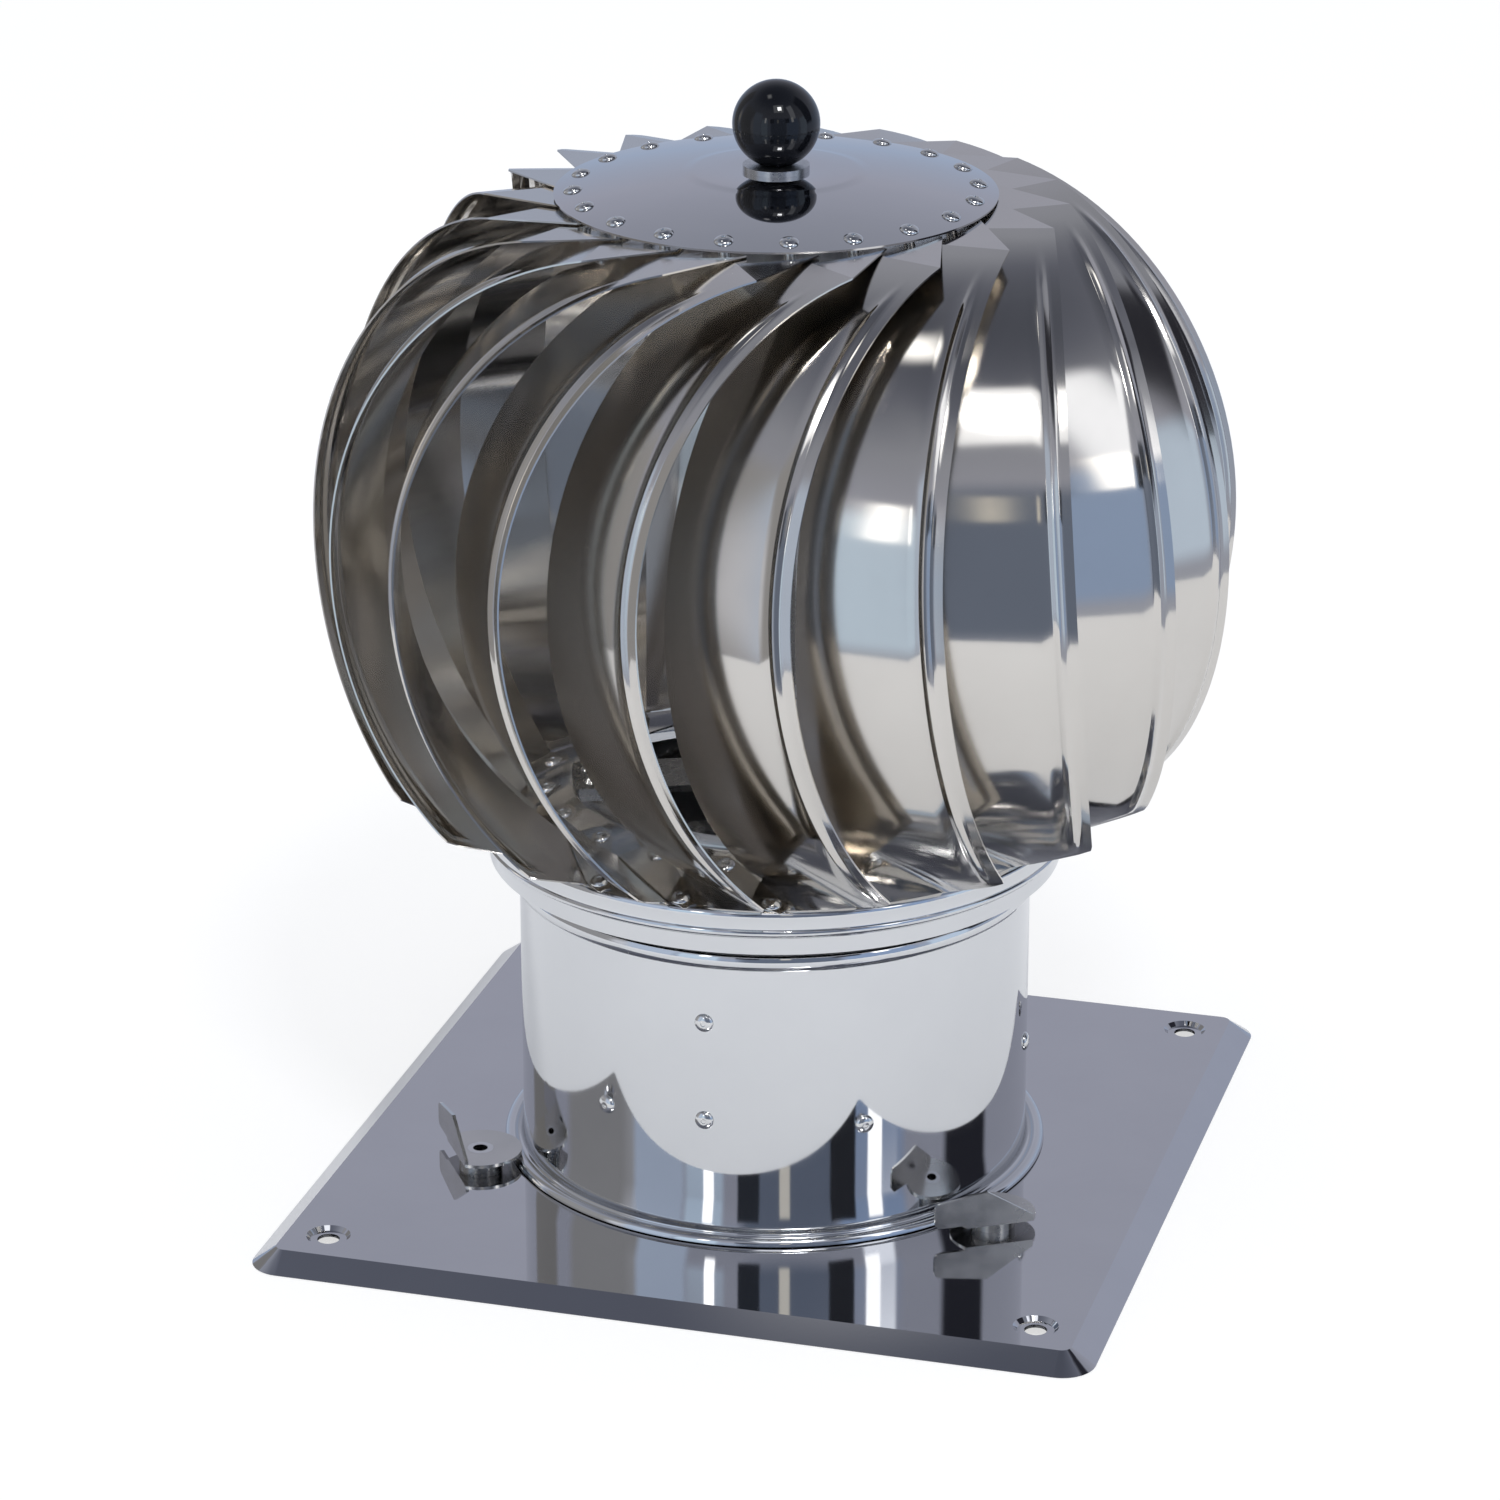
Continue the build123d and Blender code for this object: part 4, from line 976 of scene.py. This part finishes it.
def only_in_gloss(card, material):
    """Give a card its glow, and hide it from everything but reflections."""
    card.data.materials.append(material)
    card.visible_camera = False
    card.visible_diffuse = False
    card.visible_shadow = False
    card.visible_transmission = False
    card.visible_volume_scatter = False


AIM = Vector((0, 0, 0.2))


def studio_way(turn, rise):
    """Direction at a turn about the object and a rise above the horizon, both in degrees."""
    out = cos(radians(rise))
    return Vector((out * cos(radians(turn)), out * sin(radians(turn)), sin(radians(rise))))


def studio_card(name, colour, strength, turn, rise, half_turn, half_rise, reach, soft=0.15):
    """A card round the object: its turn and rise in degrees, its half width and height, and its reach."""
    way = studio_way(turn, rise)
    bpy.ops.object.select_all(action="DESELECT")
    bpy.ops.mesh.primitive_plane_add(size=1, location=AIM + way * reach)
    card = bpy.context.object
    card.name = name
    card.rotation_euler = (-way).to_track_quat("Z", "Y").to_euler()
    card.scale = (2 * reach * tan(radians(half_turn)), 2 * reach * tan(radians(half_rise)), 1)
    only_in_gloss(card, glow(name + "_glow", colour, strength, soft))


# %% [markdown]
# The world is plain white to the camera, and a little bluer in the light that it throws, as daylight is
# beside a white card. A Light Path node tells the two kinds of ray apart.

# %% The world
world = bpy.data.worlds.new("studio_world")
bpy.context.scene.world = world
world.use_nodes = True
world_tree = world.node_tree
world_tree.nodes.clear()
light_path = add_node(world_tree, "ShaderNodeLightPath")
seen = light_path.outputs["Is Camera Ray"]
for ray in ("Is Glossy Ray", "Is Transmission Ray"):
    either = add_node(
        world_tree, "ShaderNodeMath", {"operation": "MAXIMUM"}, links={0: seen, 1: light_path.outputs[ray]}
    )
    seen = either.outputs[0]
day_light = add_node(
    world_tree, "ShaderNodeBackground", values={"Color": linear("#F3F6FC"), "Strength": 0.9}
)
white_seen = add_node(world_tree, "ShaderNodeBackground", values={"Color": WHITE, "Strength": 1})
world_mix = add_node(
    world_tree, "ShaderNodeMixShader", links={0: seen, 1: day_light.outputs[0], 2: white_seen.outputs[0]}
)
add_node(world_tree, "ShaderNodeOutputWorld", links={"Surface": world_mix.outputs[0]})
print("nodes in the world:", len(world_tree.nodes))

# %% [markdown]
# Behind the cards, mirrored rays meet a big sphere that only they see. Its tone changes with height, from
# the pale ground past the table up to a dim ceiling, as in a room that is lit from its sides.

# %% The grey room
ROOM_RADIUS = 6.0
bpy.ops.object.select_all(action="DESELECT")
bpy.ops.mesh.primitive_uv_sphere_add(segments=64, ring_count=32, radius=1)
room = bpy.context.object
room.name = "grey_room"
room.scale = (ROOM_RADIUS, ROOM_RADIUS, ROOM_RADIUS)
room_glow = bpy.data.materials.new("grey_room_glow")
room_glow.use_nodes = True
room_tree = room_glow.node_tree
room_tree.nodes.clear()
room_place = add_node(room_tree, "ShaderNodeTexCoord").outputs["Object"]
room_height = add_node(room_tree, "ShaderNodeSeparateXYZ", links={"Vector": room_place})
room_share = add_node(
    room_tree, "ShaderNodeMapRange", values={"From Min": -1, "From Max": 1},
    links={"Value": room_height.outputs["Z"]},
)
room_ramp = add_node(room_tree, "ShaderNodeValToRGB", links={"Fac": room_share.outputs["Result"]})
ROOM_FLOOR = "#C9CCD4"
ROOM_TOP = "#565A66"
ROOM_TONES = {-20: "#AEB4C4", 5: "#AAB8D0", 22: "#B1B4C3", 45: "#9CA0AC", 62: "#6E7280"}
room_ramp.color_ramp.elements[0].color = linear(ROOM_FLOOR)
room_ramp.color_ramp.elements[1].color = linear(ROOM_TOP)
for rise, code in ROOM_TONES.items():
    room_ramp.color_ramp.elements.new((sin(radians(rise)) + 1) / 2).color = linear(code)
room_light = add_node(room_tree, "ShaderNodeEmission", links={"Color": room_ramp.outputs["Color"]})
add_node(room_tree, "ShaderNodeOutputMaterial", links={"Surface": room_light.outputs[0]})
only_in_gloss(room, room_glow)
print("tones in the grey room:", len(room_ramp.color_ramp.elements))

# %% [markdown]
# The numbers after a card's colour and strength are its turn and rise, its half width and half height in
# degrees, and its reach in metres. A nearer card covers the ones behind it. Big dull cards stand for walls
# and windows, narrow bright ones for tubes, and small dark ones for flags that deepen the collar's foot.

# %% The studio's cards
studio_card("left_wall", "#8C8B8B", 1.0, -205, 12, 13, 34, 3.9)
studio_card("left_curtain", "#A2A2A4", 1.0, -160, 5, 24, 34, 3.8)
studio_card("front_left_wall", "#C6D4EA", 1.0, -128, 6, 14, 32, 3.6)
studio_card("front_dark", "#717B8E", 1.0, -68, 2, 24, 30, 3.5)
studio_card("right_blue_window", "#9DB2D4", 1.0, -30, 2, 18, 25, 3.4)
studio_card("right_window", "#D4E6FC", 1.0, 2, 0, 12, 22, 3.3)
studio_card("right_dark", "#2E2F37", 1.0, 22, 28, 15, 30, 3.2)
studio_card("front_left_strip", "#D6EAFF", 1.0, -106, 1, 10, 26, 3.0)
studio_card("front_left_tube", "#FFFFFF", 3.0, -104, 21, 2.5, 7, 2.95)
studio_card("front_right_strip", "#F3F7FF", 1.6, -25, 38, 8, 18, 2.9)
studio_card("overhead_box", "#F6F9FF", 1.5, -66, 53, 13, 11, 2.8, soft=0.12)
studio_card("ceiling_box", "#FFFFFF", 2.2, -163, 77, 9, 6, 2.75, soft=0.4)
studio_card("warm_stripe", "#FFFAEE", 0.9, -70, 21, 2.5, 5, 2.7)
studio_card("left_glow", "#DADCE4", 1.0, -141, 0, 7, 30, 3.55, soft=0.45)
studio_card("warm_glow", "#F4EBDD", 1.4, 172, 6, 7, 15, 3.5, soft=0.5)
studio_card("black_flag_left", "#33373F", 1.0, -86, 21, 5, 6, 2.72, soft=0.1)
studio_card("black_flag_right", "#2E3036", 1.0, -44, 21, 6, 6, 2.72, soft=0.1)
studio_card("front_right_tube", "#FFFFFF", 2.4, -29, 21, 3.5, 6, 2.7, soft=0.1)

# %% [markdown]
# One small lamp high in front gives the knob its highlight and the ribs their bright lines.

# %% The lamp
LAMP_TURN = -62
LAMP_RISE = 53
LAMP_REACH = 2.6
LAMP_WATTS = 18
LAMP_SIZE = 0.4
lamp_way = studio_way(LAMP_TURN, LAMP_RISE)
bpy.ops.object.light_add(type="AREA", location=AIM + lamp_way * LAMP_REACH)
lamp = bpy.context.object
lamp.name = "soft_lamp"
lamp.data.energy = LAMP_WATTS
lamp.data.size = LAMP_SIZE
lamp.rotation_euler = (-lamp_way).to_track_quat("-Z", "Y").to_euler()
print("lamp stands at", [round(side, 2) for side in lamp.location])

# %% [markdown]
# Light is thrown from vane to vane many times before it leaves the ball, so mirrored rays may bounce more
# often than is usual.

# %% Look settings and the end
GLOSSY_BOUNCES = 9
bpy.context.scene.view_settings.view_transform = "Standard"
bpy.context.scene.cycles.max_bounces = GLOSSY_BOUNCES
bpy.context.scene.cycles.glossy_bounces = GLOSSY_BOUNCES
